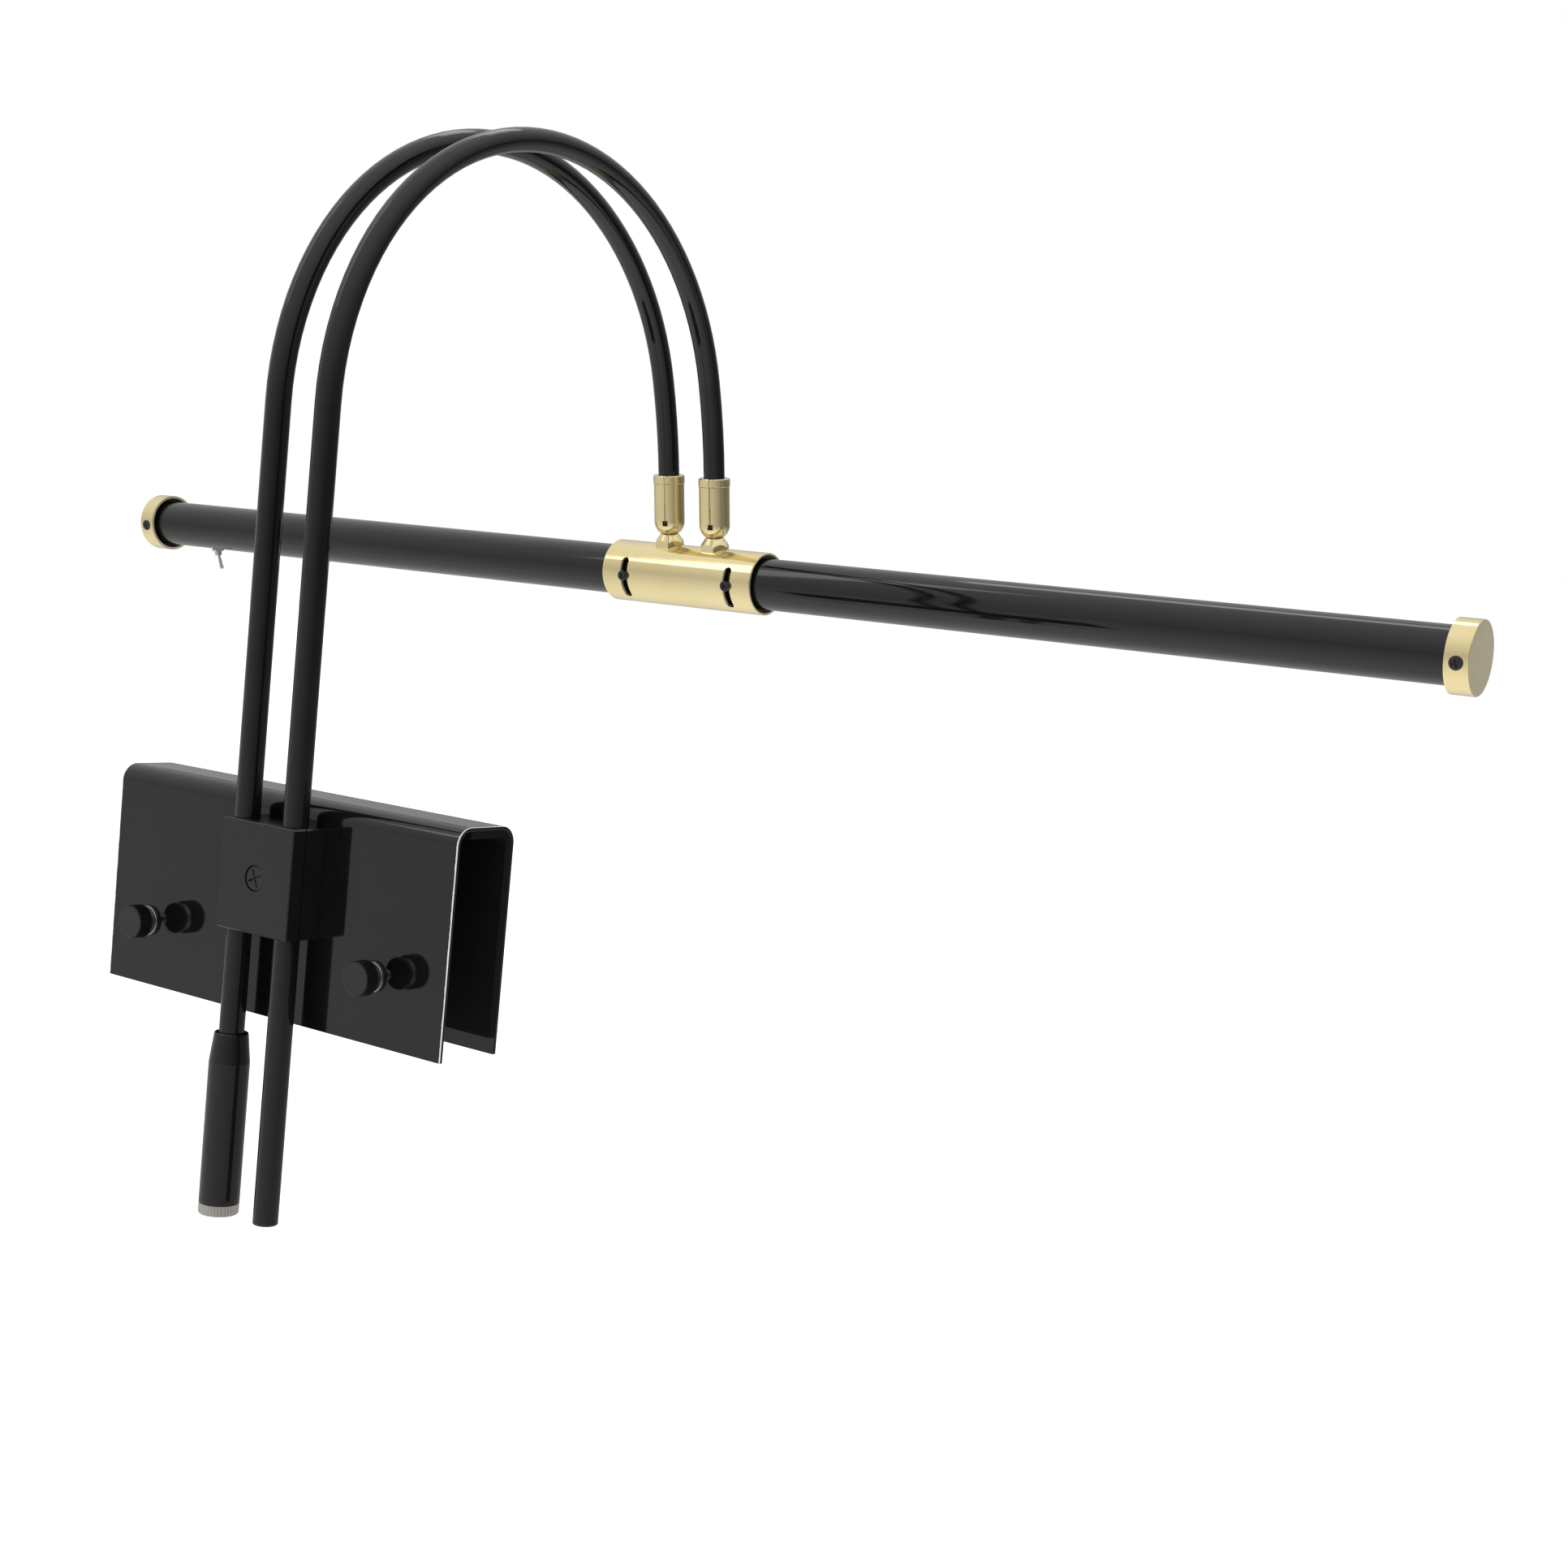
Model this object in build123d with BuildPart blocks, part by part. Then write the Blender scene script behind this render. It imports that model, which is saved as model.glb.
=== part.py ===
from build123d import *
import math
import os

# Clip-on picture light: a slim LED tube hangs from two arched arms, and the arms are
# clamped to a lined channel that grips the top edge of a frame or a music desk.
#
# Frame: the origin is the middle of the lining under the channel's top, where the
# channel rests. +X runs along the light tube, +Y from the arms towards the tube, +Z up.

# ---- Driving dimensions, millimetres and degrees ------------------------------------

# Channel that hooks over the frame
CHANNEL_LENGTH = 151.0
CHANNEL_HEIGHT = 71.2
SHEET = 1.2
BEND_R = 5.5
GAP = 20.0                 # clear width between the front plate and the lining
LINING = 2.4
LINING_SHORT = 5.5         # the lining stops this far above the rear plate's edge
CUT_EDGE_R = 0.25          # rounding of the sheet's cut edges

# Clamp block for the arms, bolted to the channel's front plate
ARM_X = 4.0                # the arms' middle, measured from the channel's middle
BLOCK_WIDTH = 31.6
BLOCK_HEIGHT = 34.8
BLOCK_MIDDLE_Z = -22.0
ARM_STANDOFF = 7.1         # front plate to arm axis
JAW_DEPTH = 5.1
JAW_SPLIT = 0.4
BLOCK_CHAMFER = 0.5
CLAMP_SCREW_R = 2.4
CLAMP_HEAD_R = 3.9

# Thumb screws that press the pads against the frame
THUMB_X = 51.0
THUMB_Z = -44.9
THUMB_R = 1.75             # 6-32 thread
THUMB_HEAD_R = 5.4
THUMB_REACH = 13.3         # front plate to the head's face
PAD_R = 7.0

# Arms
ARM_R = 3.97
ARM_WALL = 0.9
ARM_SPACING = 21.5
ARM_BOTTOM_Z = -129.6
ARCH_R = 96.7
ARCH_END_R = 240.0         # the far end of the arch straightens out on this radius
ARCH_END_TURN = 8.5
HANG_TILT = 10.0           # the swivels hang this far from the plates' direction

# Swivels; heights are measured from the tube's axis up the hanging line
TUBE_Z = 83.4
BALL_HEIGHT = 20.5
BALL_R = 4.35
CUP_R = 5.75
CUP_TOP = 34.8
COLLAR_TOP = 38.0
COLLAR_R = 5.95
CUP_MOUTH_ANGLE = 33.0
CUP_SLIT_TURN = 20.0
CUP_LINING = 0.55          # space for the plastic seat between ball and cup
STEM_FLATS = 10.0

# Sleeve around the light tube
SLEEVE_R = 11.7
SLEEVE_WALL = 1.0
SLEEVE_LENGTH = 70.0
SLOT_X = 24.4
SLOT_WIDTH = 3.3
SLOT_UP = 35.0             # slot above and below the screw line
SLOT_DOWN = 47.0
SCREW_LINE = -10.5         # degrees above the level line towards the arms' side

# Light tube
LIGHT_LENGTH = 609.6
TUBE_R = 9.55
TUBE_WALL = 1.0
CAP_R = 12.05
CAP_WALL = 1.0
CAP_LENGTH = 7.9
WINDOW_ANGLE = -115.0      # middle of the light opening
WINDOW_SPREAD = 50.0
WINDOW_INNER_X = 42.0
WINDOW_LEFT_X = 250.0
WINDOW_RIGHT_X = 283.0

# Switch under the tube
SWITCH_X = -268.0
SWITCH_LENGTH = 11.0
SWITCH_ANGLE = -100.0
LEVER_LEAN = 15.0

# Power connector on the left arm
HOUSING_TOP_Z = -73.1
HOUSING_SHOULDER_Z = -82.6
HOUSING_BOTTOM_Z = -128.3
RING_HEIGHT = 3.6
HOUSING_R = 6.4
HOUSING_TOP_R = 5.3
JACK_R = 2.85
JACK_PIN_R = 1.0

LEAD_R = 0.65
FIT = 0.03                 # play between pieces that are pressed or screwed together
RUNNING = 0.06             # play between pieces that turn or slide in each other

# ---- Places worked out from them ----------------------------------------------------

FRONT_FACE_Y = -(GAP / 2 + SHEET)
REAR_FACE_Y = GAP / 2 + LINING + SHEET
TOP_Z = LINING + SHEET
CHANNEL_BOTTOM_Z = TOP_Z - CHANNEL_HEIGHT
LEG_Y = FRONT_FACE_Y - ARM_STANDOFF
JAW_REAR_Y = LEG_Y - JAW_SPLIT / 2
JAW_FRONT_Y = JAW_REAR_Y - JAW_DEPTH
THUMB_FACE_Y = FRONT_FACE_Y - THUMB_REACH
RING_BOTTOM_Z = HOUSING_BOTTOM_Z - RING_HEIGHT

SIN_TILT = math.sin(math.radians(HANG_TILT))
COS_TILT = math.cos(math.radians(HANG_TILT))
ARCH_TURN = 180 - HANG_TILT - ARCH_END_TURN
COS_TURN = math.cos(math.radians(ARCH_TURN))
SIN_TURN = math.sin(math.radians(ARCH_TURN))
ARCH_END_Y = LEG_Y + ARCH_R * (1 - COS_TURN) + ARCH_END_R * (COS_TURN + COS_TILT)
TUBE_Y = ARCH_END_Y + COLLAR_TOP * SIN_TILT
ARCH_END_Z = TUBE_Z + COLLAR_TOP * COS_TILT
ARCH_Z = ARCH_END_Z - ARCH_R * SIN_TURN - ARCH_END_R * (SIN_TILT - SIN_TURN)

SIDES = (("left", -1), ("right", 1))
TUBE_AXIS = Axis((ARM_X, TUBE_Y, TUBE_Z), (1, 0, 0))
UP_LINE = Vector(0, -SIN_TILT, COS_TILT)

os.makedirs("parts", exist_ok=True)


def save(builder, name):
    """Label a finished piece and write its STEP file."""
    builder.part.label = name
    export_step(builder.part, f"parts/{name}.step")


# ---- Planes -------------------------------------------------------------------------


def arm_side_x(side):
    """X of the arm on one side."""
    return ARM_X + side * ARM_SPACING / 2


def outward(angle):
    """Unit vector from the tube's axis; 0 is towards the arms' side, 90 is up."""
    turn = math.radians(angle)
    return Vector(0, -math.cos(turn), math.sin(turn))


def tube_point(x, radius=0.0, angle=0.0):
    """Point at x along the tube and a distance from its axis."""
    return Vector(ARM_X + x, TUBE_Y, TUBE_Z) + outward(angle) * radius


def hang_plane(side):
    """Plane through a swivel: sketch X is the row's X, sketch Y runs up the line."""
    origin = tube_point(side * ARM_SPACING / 2)
    return Plane(origin=origin, x_dir=(1, 0, 0), z_dir=(0, -COS_TILT, -SIN_TILT))


def hang_axis(side):
    """Axis of a swivel, up the hanging line."""
    return Axis(tube_point(side * ARM_SPACING / 2), UP_LINE)


def hang_level(side, height, turn=0.0):
    """Plane square to the hanging line at a height above the tube's axis."""
    origin = tube_point(side * ARM_SPACING / 2) + UP_LINE * height
    spin = math.radians(turn)
    across = Vector(1, 0, 0) * math.cos(spin) + Vector(0, COS_TILT, SIN_TILT) * math.sin(spin)
    return Plane(origin=origin, x_dir=across, z_dir=UP_LINE)


def lengthwise_plane(angle):
    """Plane through the tube's axis: sketch Y is the outward direction at angle."""
    out = outward(angle)
    return Plane(origin=tube_point(0), x_dir=(1, 0, 0), z_dir=(0, -out.Z, out.Y))


def facing_plane(x, radius, angle):
    """Plane square to the outward direction, for holes and screws in the tube."""
    return Plane(
        origin=tube_point(x, radius, angle), x_dir=(1, 0, 0), z_dir=outward(angle)
    )


def cross_plane(x):
    """Plane square to the tube: sketch Y points out through the light opening."""
    out = outward(WINDOW_ANGLE)
    return Plane(origin=tube_point(x), x_dir=(0, out.Z, -out.Y), z_dir=(1, 0, 0))


def along_y(x, y, z):
    """Plane square to Y, facing the arms' side."""
    return Plane(origin=(x, y, z), x_dir=(1, 0, 0), z_dir=(0, -1, 0))


# ---- Shapes used by several pieces ---------------------------------------------------


def rounded_section(front, rear, bottom, top, radius, corners=2):
    """Section in YZ with rounded top corners; one corner rounds the rear one only."""
    with BuildSketch(Plane.YZ) as section:
        with Locations(((front + rear) / 2, (bottom + top) / 2)):
            Rectangle(rear - front, top - bottom)
        top_corners = section.vertices().group_by(Axis.Y)[-1].sort_by(Axis.X)
        fillet(top_corners[-corners:], radius)
    return section.sketch


def rod(plane, radius, length, mode=Mode.ADD):
    """Round bar from a plane along its normal, added to the open part."""
    with BuildSketch(plane) as section:
        Circle(radius)
    extrude(section.sketch, amount=length, mode=mode)


def pipe(plane, outer, inner, length):
    """Round tube from a plane along its normal."""
    with BuildSketch(plane) as section:
        Circle(outer)
        Circle(inner, mode=Mode.SUBTRACT)
    extrude(section.sketch, amount=length)


def cross_recess(plane, width, depth, slot, turn=0.0):
    """Cross-shaped driver recess sunk into a screw head's face."""
    with BuildSketch(plane) as cross:
        Rectangle(width, slot, rotation=turn)
        Rectangle(slot, width, rotation=turn)
    extrude(cross.sketch, amount=-depth, mode=Mode.SUBTRACT)


def arc_band(x_low, x_high, inner, outer, start, sweep, mode=Mode.ADD):
    """Band around the tube's axis between two radii, from a start angle downwards."""
    with BuildSketch(lengthwise_plane(start)) as section:
        with Locations(((x_low + x_high) / 2, (inner + outer) / 2)):
            Rectangle(x_high - x_low, outer - inner)
    revolve(section.sketch, axis=TUBE_AXIS, revolution_arc=sweep, mode=mode)


def bent_bar(side, bottom_z, end_height, outer, inner=0.0):
    """Round bar or tube on an arm's centre line, from its foot to inside the cup."""
    x = arm_side_x(side)
    arch_out = Vector(0, SIN_TURN, COS_TURN)
    arch_end = Vector(x, LEG_Y + ARCH_R * (1 - COS_TURN), ARCH_Z + ARCH_R * SIN_TURN)
    tail_centre = arch_end + Vector(0, COS_TURN, -SIN_TURN) * ARCH_END_R
    foot = Plane(origin=(x, LEG_Y, bottom_z))
    tail_end = Plane(origin=(x, ARCH_END_Y, ARCH_END_Z), z_dir=-UP_LINE)
    straights = ((foot, ARCH_Z - bottom_z), (tail_end, COLLAR_TOP - end_height))
    bends = (
        (Plane(origin=(x, LEG_Y, ARCH_Z)), Vector(x, LEG_Y + ARCH_R, ARCH_Z), ARCH_TURN),
        (Plane(origin=arch_end, z_dir=arch_out), tail_centre, ARCH_END_TURN),
    )
    for plane, length in straights:
        with BuildSketch(plane) as section:
            Circle(outer)
            if inner:
                Circle(inner, mode=Mode.SUBTRACT)
        extrude(section.sketch, amount=length)
    for plane, centre, turn in bends:
        with BuildSketch(plane) as section:
            Circle(outer)
            if inner:
                Circle(inner, mode=Mode.SUBTRACT)
        revolve(section.sketch, axis=Axis(centre, (-1, 0, 0)), revolution_arc=turn)


# ---- Bracket -------------------------------------------------------------------------

BASE_SCREW_R = 2.0
BASE_SCREW_REACH = 5.2     # depth of thread in the block
BASE_HEAD_R = 3.5
BASE_HEAD_HEIGHT = 1.6
BASE_RECESS = 3.6
BASE_RECESS_SLOT = 0.8
BASE_RECESS_DEPTH = 0.9
BASE_SCREW_Z = (BLOCK_MIDDLE_Z - 12.5, BLOCK_MIDDLE_Z + 12.5)
THUMB_HOLE_PLAY = 0.25
THUMB_NUT_R = 4.3
THUMB_NUT_DEPTH = 2.4
NUT_FLATS_R = 4.0
NUT_DEPTH = 3.2

with BuildPart() as channel:
    extrude(
        rounded_section(FRONT_FACE_Y, REAR_FACE_Y, CHANNEL_BOTTOM_Z, TOP_Z, BEND_R),
        amount=CHANNEL_LENGTH / 2,
        both=True,
    )
    extrude(
        rounded_section(
            FRONT_FACE_Y + SHEET,
            REAR_FACE_Y - SHEET,
            CHANNEL_BOTTOM_Z - SHEET,
            TOP_Z - SHEET,
            BEND_R - SHEET,
        ),
        amount=CHANNEL_LENGTH / 2,
        both=True,
        mode=Mode.SUBTRACT,
    )
    with BuildSketch(along_y(0, FRONT_FACE_Y, 0)):
        with Locations((-THUMB_X, THUMB_Z), (THUMB_X, THUMB_Z)):
            Circle(THUMB_R + THUMB_HOLE_PLAY)
        with Locations(*[(ARM_X, z) for z in BASE_SCREW_Z]):
            Circle(BASE_SCREW_R + FIT)
    extrude(amount=-SHEET, mode=Mode.SUBTRACT)
    bottom_faces = channel.faces().filter_by(Axis.Z).group_by(Axis.Z)[0]
    fillet(bottom_faces.edges().filter_by(Axis.X), CUT_EDGE_R)
    end_faces = channel.faces().sort_by(Axis.X)
    fillet(end_faces[0].edges() + end_faces[-1].edges(), CUT_EDGE_R)
save(channel, "bracket_channel")

with BuildPart() as lining:
    extrude(
        rounded_section(
            FRONT_FACE_Y + BEND_R,
            REAR_FACE_Y - SHEET,
            CHANNEL_BOTTOM_Z + LINING_SHORT,
            TOP_Z - SHEET,
            BEND_R - SHEET,
            corners=1,
        ),
        amount=CHANNEL_LENGTH / 2,
        both=True,
    )
    extrude(
        rounded_section(
            FRONT_FACE_Y,
            GAP / 2,
            CHANNEL_BOTTOM_Z,
            0,
            BEND_R - SHEET - LINING,
            corners=1,
        ),
        amount=CHANNEL_LENGTH / 2,
        both=True,
        mode=Mode.SUBTRACT,
    )
save(lining, "felt_lining")

with BuildPart() as block_base:
    with BuildSketch(along_y(ARM_X, FRONT_FACE_Y, BLOCK_MIDDLE_Z)):
        Rectangle(BLOCK_WIDTH, BLOCK_HEIGHT)
    extrude(amount=ARM_STANDOFF - JAW_SPLIT / 2)
    chamfer(block_base.edges().filter_by(Axis.Y), BLOCK_CHAMFER)
    with BuildSketch(Plane.XY.offset(BLOCK_MIDDLE_Z - BLOCK_HEIGHT / 2)):
        with Locations(*[(arm_side_x(side), LEG_Y) for _, side in SIDES]):
            Circle(ARM_R + RUNNING)
    extrude(amount=BLOCK_HEIGHT, mode=Mode.SUBTRACT)
    rod(
        along_y(ARM_X, FRONT_FACE_Y, BLOCK_MIDDLE_Z),
        CLAMP_SCREW_R + RUNNING,
        ARM_STANDOFF,
        Mode.SUBTRACT,
    )
    with BuildSketch(along_y(ARM_X, FRONT_FACE_Y, BLOCK_MIDDLE_Z)):
        RegularPolygon(NUT_FLATS_R + FIT, 6, major_radius=False)
    extrude(amount=NUT_DEPTH + FIT, mode=Mode.SUBTRACT)
    with BuildSketch(along_y(ARM_X, FRONT_FACE_Y, 0)):
        with Locations(*[(0, z) for z in BASE_SCREW_Z]):
            Circle(BASE_SCREW_R + FIT)
    extrude(amount=BASE_SCREW_REACH + 2 * RUNNING, mode=Mode.SUBTRACT)
save(block_base, "block_base")

with BuildPart() as clamp_nut:
    with BuildSketch(along_y(ARM_X, FRONT_FACE_Y, BLOCK_MIDDLE_Z)):
        RegularPolygon(NUT_FLATS_R, 6, major_radius=False)
        Circle(CLAMP_SCREW_R + RUNNING, mode=Mode.SUBTRACT)
    extrude(amount=NUT_DEPTH)
save(clamp_nut, "clamp_nut")

with BuildPart() as base_screws:
    for z in BASE_SCREW_Z:
        seat = along_y(ARM_X, FRONT_FACE_Y + SHEET, z)
        rod(seat, BASE_SCREW_R, SHEET + BASE_SCREW_REACH)
        rod(seat, BASE_HEAD_R, -BASE_HEAD_HEIGHT)
    chamfer(base_screws.edges().group_by(Axis.Y)[-1], 0.5)
    for z in BASE_SCREW_Z:
        head_y = FRONT_FACE_Y + SHEET + BASE_HEAD_HEIGHT
        head_face = Plane(origin=(ARM_X, head_y, z), x_dir=(1, 0, 0), z_dir=(0, 1, 0))
        cross_recess(head_face, BASE_RECESS, BASE_RECESS_DEPTH, BASE_RECESS_SLOT)
save(base_screws, "base_screws")

with BuildPart() as thumb_nuts:
    for x in (-THUMB_X, THUMB_X):
        inner_face = along_y(x, FRONT_FACE_Y + SHEET, THUMB_Z)
        pipe(inner_face, THUMB_NUT_R, THUMB_R + RUNNING, -THUMB_NUT_DEPTH)
save(thumb_nuts, "thumb_nuts")

# ---- Clamp jaw and its screw ---------------------------------------------------------

COUNTERBORE_DEPTH = 3.4
COUNTERBORE_R = CLAMP_HEAD_R + 0.2
CLAMP_HEAD_HEIGHT = 3.1
CLAMP_HEAD_ROUND = 0.3
CLAMP_RECESS = 5.9
CLAMP_RECESS_SLOT = 0.5
CLAMP_RECESS_DEPTH = 0.9
CLAMP_RECESS_TURN = 24.0
CLAMP_TIP_PLAY = 0.6
HEAD_SEAT_Y = JAW_FRONT_Y + COUNTERBORE_DEPTH

with BuildPart() as jaw:
    with BuildSketch(along_y(ARM_X, JAW_REAR_Y, BLOCK_MIDDLE_Z)):
        Rectangle(BLOCK_WIDTH, BLOCK_HEIGHT)
    extrude(amount=JAW_DEPTH)
    chamfer(jaw.edges().filter_by(Axis.Y), BLOCK_CHAMFER)
    chamfer(jaw.faces().sort_by(Axis.Y)[0].edges(), 0.3)
    with BuildSketch(Plane.XY.offset(BLOCK_MIDDLE_Z - BLOCK_HEIGHT / 2)):
        with Locations(*[(arm_side_x(side), LEG_Y) for _, side in SIDES]):
            Circle(ARM_R + RUNNING)
    extrude(amount=BLOCK_HEIGHT, mode=Mode.SUBTRACT)
    with Locations(along_y(ARM_X, JAW_FRONT_Y, BLOCK_MIDDLE_Z)):
        CounterBoreHole(CLAMP_SCREW_R + RUNNING, COUNTERBORE_R, COUNTERBORE_DEPTH)
save(jaw, "clamp_jaw")

with BuildPart() as clamp_screw:
    tip_y = FRONT_FACE_Y - CLAMP_TIP_PLAY
    head_low_y = HEAD_SEAT_Y - RUNNING
    head_face_y = head_low_y - CLAMP_HEAD_HEIGHT
    rod(along_y(ARM_X, tip_y, BLOCK_MIDDLE_Z), CLAMP_SCREW_R, tip_y - head_low_y)
    rod(along_y(ARM_X, head_low_y, BLOCK_MIDDLE_Z), CLAMP_HEAD_R, CLAMP_HEAD_HEIGHT)
    head_rim = clamp_screw.edges().filter_by(GeomType.CIRCLE).sort_by(Axis.Y)[0]
    fillet(head_rim, CLAMP_HEAD_ROUND)
    cross_recess(
        along_y(ARM_X, head_face_y, BLOCK_MIDDLE_Z),
        CLAMP_RECESS,
        CLAMP_RECESS_DEPTH,
        CLAMP_RECESS_SLOT,
        CLAMP_RECESS_TURN,
    )
save(clamp_screw, "clamp_screw")

# ---- Thumb screws and pads -----------------------------------------------------------

PAD_REAR_Y = -4.6
PAD_PLATE = 2.6
PAD_FACING = 1.2
PAD_FACING_INSET = 0.2
SOCKET_DEPTH = 1.9
KNURL_END = 4.9            # the knurled part of the head ends here, from the head's face
GROOVE_R = 4.55
GROOVE_END = 7.0
FLANGE_R = 5.05
FLANGE_END = 8.9
RIM = 0.35                 # bevels on the head and the tip

for name, side in SIDES:
    x = side * THUMB_X

    with BuildPart() as thumb_screw:
        origin = (x, THUMB_FACE_Y, THUMB_Z)
        with BuildSketch(Plane(origin=origin, x_dir=(1, 0, 0), z_dir=(0, 0, 1))):
            tip = PAD_REAR_Y + SOCKET_DEPTH - THUMB_FACE_Y
            with BuildLine():
                Polyline(
                    (0, 0),
                    (THUMB_HEAD_R - RIM, 0),
                    (THUMB_HEAD_R, RIM),
                    (THUMB_HEAD_R, KNURL_END),
                    (GROOVE_R, KNURL_END + RIM),
                    (GROOVE_R, GROOVE_END),
                    (FLANGE_R, GROOVE_END + RIM),
                    (FLANGE_R, FLANGE_END - RIM),
                    (FLANGE_R - RIM, FLANGE_END),
                    (THUMB_R, FLANGE_END),
                    (THUMB_R, tip - RIM),
                    (THUMB_R - RIM, tip),
                    (0, tip),
                    close=True,
                )
            make_face()
        revolve(axis=Axis((x, 0, THUMB_Z), (0, 1, 0)))
    save(thumb_screw, f"{name}_thumb_screw")

    with BuildPart() as pad_plate:
        rod(along_y(x, PAD_REAR_Y + PAD_PLATE, THUMB_Z), PAD_R, PAD_PLATE)
        chamfer(pad_plate.edges().sort_by(Axis.Y)[0], 0.6)
        socket_end = along_y(x, PAD_REAR_Y + SOCKET_DEPTH + RUNNING, THUMB_Z)
        rod(socket_end, THUMB_R + RUNNING, PAD_PLATE, Mode.SUBTRACT)
    save(pad_plate, f"{name}_pad_plate")

    with BuildPart() as pad_facing:
        facing_y = PAD_REAR_Y + PAD_PLATE + PAD_FACING
        rod(along_y(x, facing_y, THUMB_Z), PAD_R - PAD_FACING_INSET, PAD_FACING)
        fillet(pad_facing.edges().sort_by(Axis.Y)[-1], 0.4)
    save(pad_facing, f"{name}_pad_facing")

# ---- Arms ----------------------------------------------------------------------------

ARM_BORE_R = ARM_R - ARM_WALL
ARM_TOP_HEIGHT = 27.2      # the arm ends this far above the tube's axis, inside the cup
LEFT_ARM_BOTTOM_Z = HOUSING_SHOULDER_Z - 8.0
ARM_PLUG_DEPTH = 6.0
ARM_PLUG_HEAD = 0.8

for name, side in SIDES:
    bottom = LEFT_ARM_BOTTOM_Z if side < 0 else ARM_BOTTOM_Z
    with BuildPart() as arm:
        bent_bar(side, bottom, ARM_TOP_HEIGHT, ARM_R, ARM_BORE_R)
    save(arm, f"{name}_arm")

with BuildPart() as arm_plug:
    foot = Plane(origin=(arm_side_x(1), LEG_Y, ARM_BOTTOM_Z), z_dir=(0, 0, 1))
    rod(foot, ARM_BORE_R - FIT, ARM_PLUG_DEPTH)
    rod(foot, ARM_R, -ARM_PLUG_HEAD)
    fillet(arm_plug.edges().group_by(Axis.Z)[0], 0.5)
save(arm_plug, "arm_plug")

# ---- Power connector on the left arm -------------------------------------------------

CONNECTOR = Plane(origin=(arm_side_x(-1), LEG_Y, 0), x_dir=(1, 0, 0), z_dir=(0, 0, 1))
CAVITY_R = 5.2
RING_BORE_R = 4.4
INSULATOR_TOP_Z = RING_BOTTOM_Z + 20.9
JACK_DEPTH = 10.0
SERRATIONS = 36
SERRATION_R = 0.4
RING_SKIRT = 7.3           # the ring's threaded part, up inside the housing
CAVITY_TAPER = 4.0
INSULATOR_INSET = 0.4
PIN_INSET = 1.6
PIN_TAIL = 4.0
CONTACT_LOW = 5.4
CONTACT_HEIGHT = 4.6
CONTACT_WALL = 0.22

with BuildPart() as housing:
    with BuildSketch(Plane(origin=CONNECTOR.origin, x_dir=(1, 0, 0), z_dir=(0, -1, 0))):
        with BuildLine():
            Polyline(
                (ARM_R + FIT, HOUSING_TOP_Z),
                (HOUSING_TOP_R, HOUSING_TOP_Z),
                (HOUSING_R, HOUSING_SHOULDER_Z),
                (HOUSING_R, HOUSING_BOTTOM_Z),
                (CAVITY_R, HOUSING_BOTTOM_Z),
                (CAVITY_R, LEFT_ARM_BOTTOM_Z - CAVITY_TAPER),
                (ARM_R + FIT, LEFT_ARM_BOTTOM_Z),
                close=True,
            )
        make_face()
    revolve(axis=Axis(CONNECTOR.origin, (0, 0, 1)))
    fillet(housing.edges().group_by(Axis.Z)[-1].sort_by(SortBy.RADIUS)[-1], 0.5)
save(housing, "connector_housing")

with BuildPart() as ring:
    rod(CONNECTOR.offset(RING_BOTTOM_Z), HOUSING_R - 0.05, RING_HEIGHT - FIT)
    chamfer(ring.edges().group_by(Axis.Z)[0], 0.4)
    with BuildSketch(CONNECTOR.offset(RING_BOTTOM_Z)):
        with PolarLocations(HOUSING_R + 0.05, SERRATIONS):
            Circle(SERRATION_R)
    extrude(amount=RING_HEIGHT, mode=Mode.SUBTRACT)
    rod(CONNECTOR.offset(HOUSING_BOTTOM_Z - FIT), CAVITY_R - FIT, RING_SKIRT)
    rod(CONNECTOR.offset(RING_BOTTOM_Z), RING_BORE_R, RING_HEIGHT + RING_SKIRT, Mode.SUBTRACT)
save(ring, "connector_ring")

with BuildPart() as insulator:
    insulator_low = RING_BOTTOM_Z + INSULATOR_INSET
    insulator_height = INSULATOR_TOP_Z - insulator_low
    rod(CONNECTOR.offset(insulator_low), RING_BORE_R - FIT, insulator_height)
    rod(CONNECTOR.offset(insulator_low), JACK_R, JACK_DEPTH, Mode.SUBTRACT)
    rod(CONNECTOR.offset(insulator_low), JACK_PIN_R + FIT, insulator_height, Mode.SUBTRACT)
save(insulator, "jack_insulator")

with BuildPart() as jack_pin:
    pin_low = RING_BOTTOM_Z + PIN_INSET
    rod(CONNECTOR.offset(pin_low), JACK_PIN_R, INSULATOR_TOP_Z + PIN_TAIL - pin_low)
    fillet(jack_pin.edges().group_by(Axis.Z)[0], 0.6)
save(jack_pin, "jack_pin")

with BuildPart() as jack_contact:
    pipe(
        CONNECTOR.offset(RING_BOTTOM_Z + CONTACT_LOW),
        JACK_R - FIT,
        JACK_R - FIT - CONTACT_WALL,
        CONTACT_HEIGHT,
    )
save(jack_contact, "jack_contact")

ARM_LEAD_BOTTOM_Z = INSULATOR_TOP_Z + PIN_TAIL + RUNNING

with BuildPart() as arm_lead:
    bent_bar(-1, ARM_LEAD_BOTTOM_Z, BALL_HEIGHT + BALL_R + 0.5, LEAD_R)
save(arm_lead, "arm_lead")

# ---- Swivels: cup, collar, nipple and seat on each arm; ball stem on the sleeve ------

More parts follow.
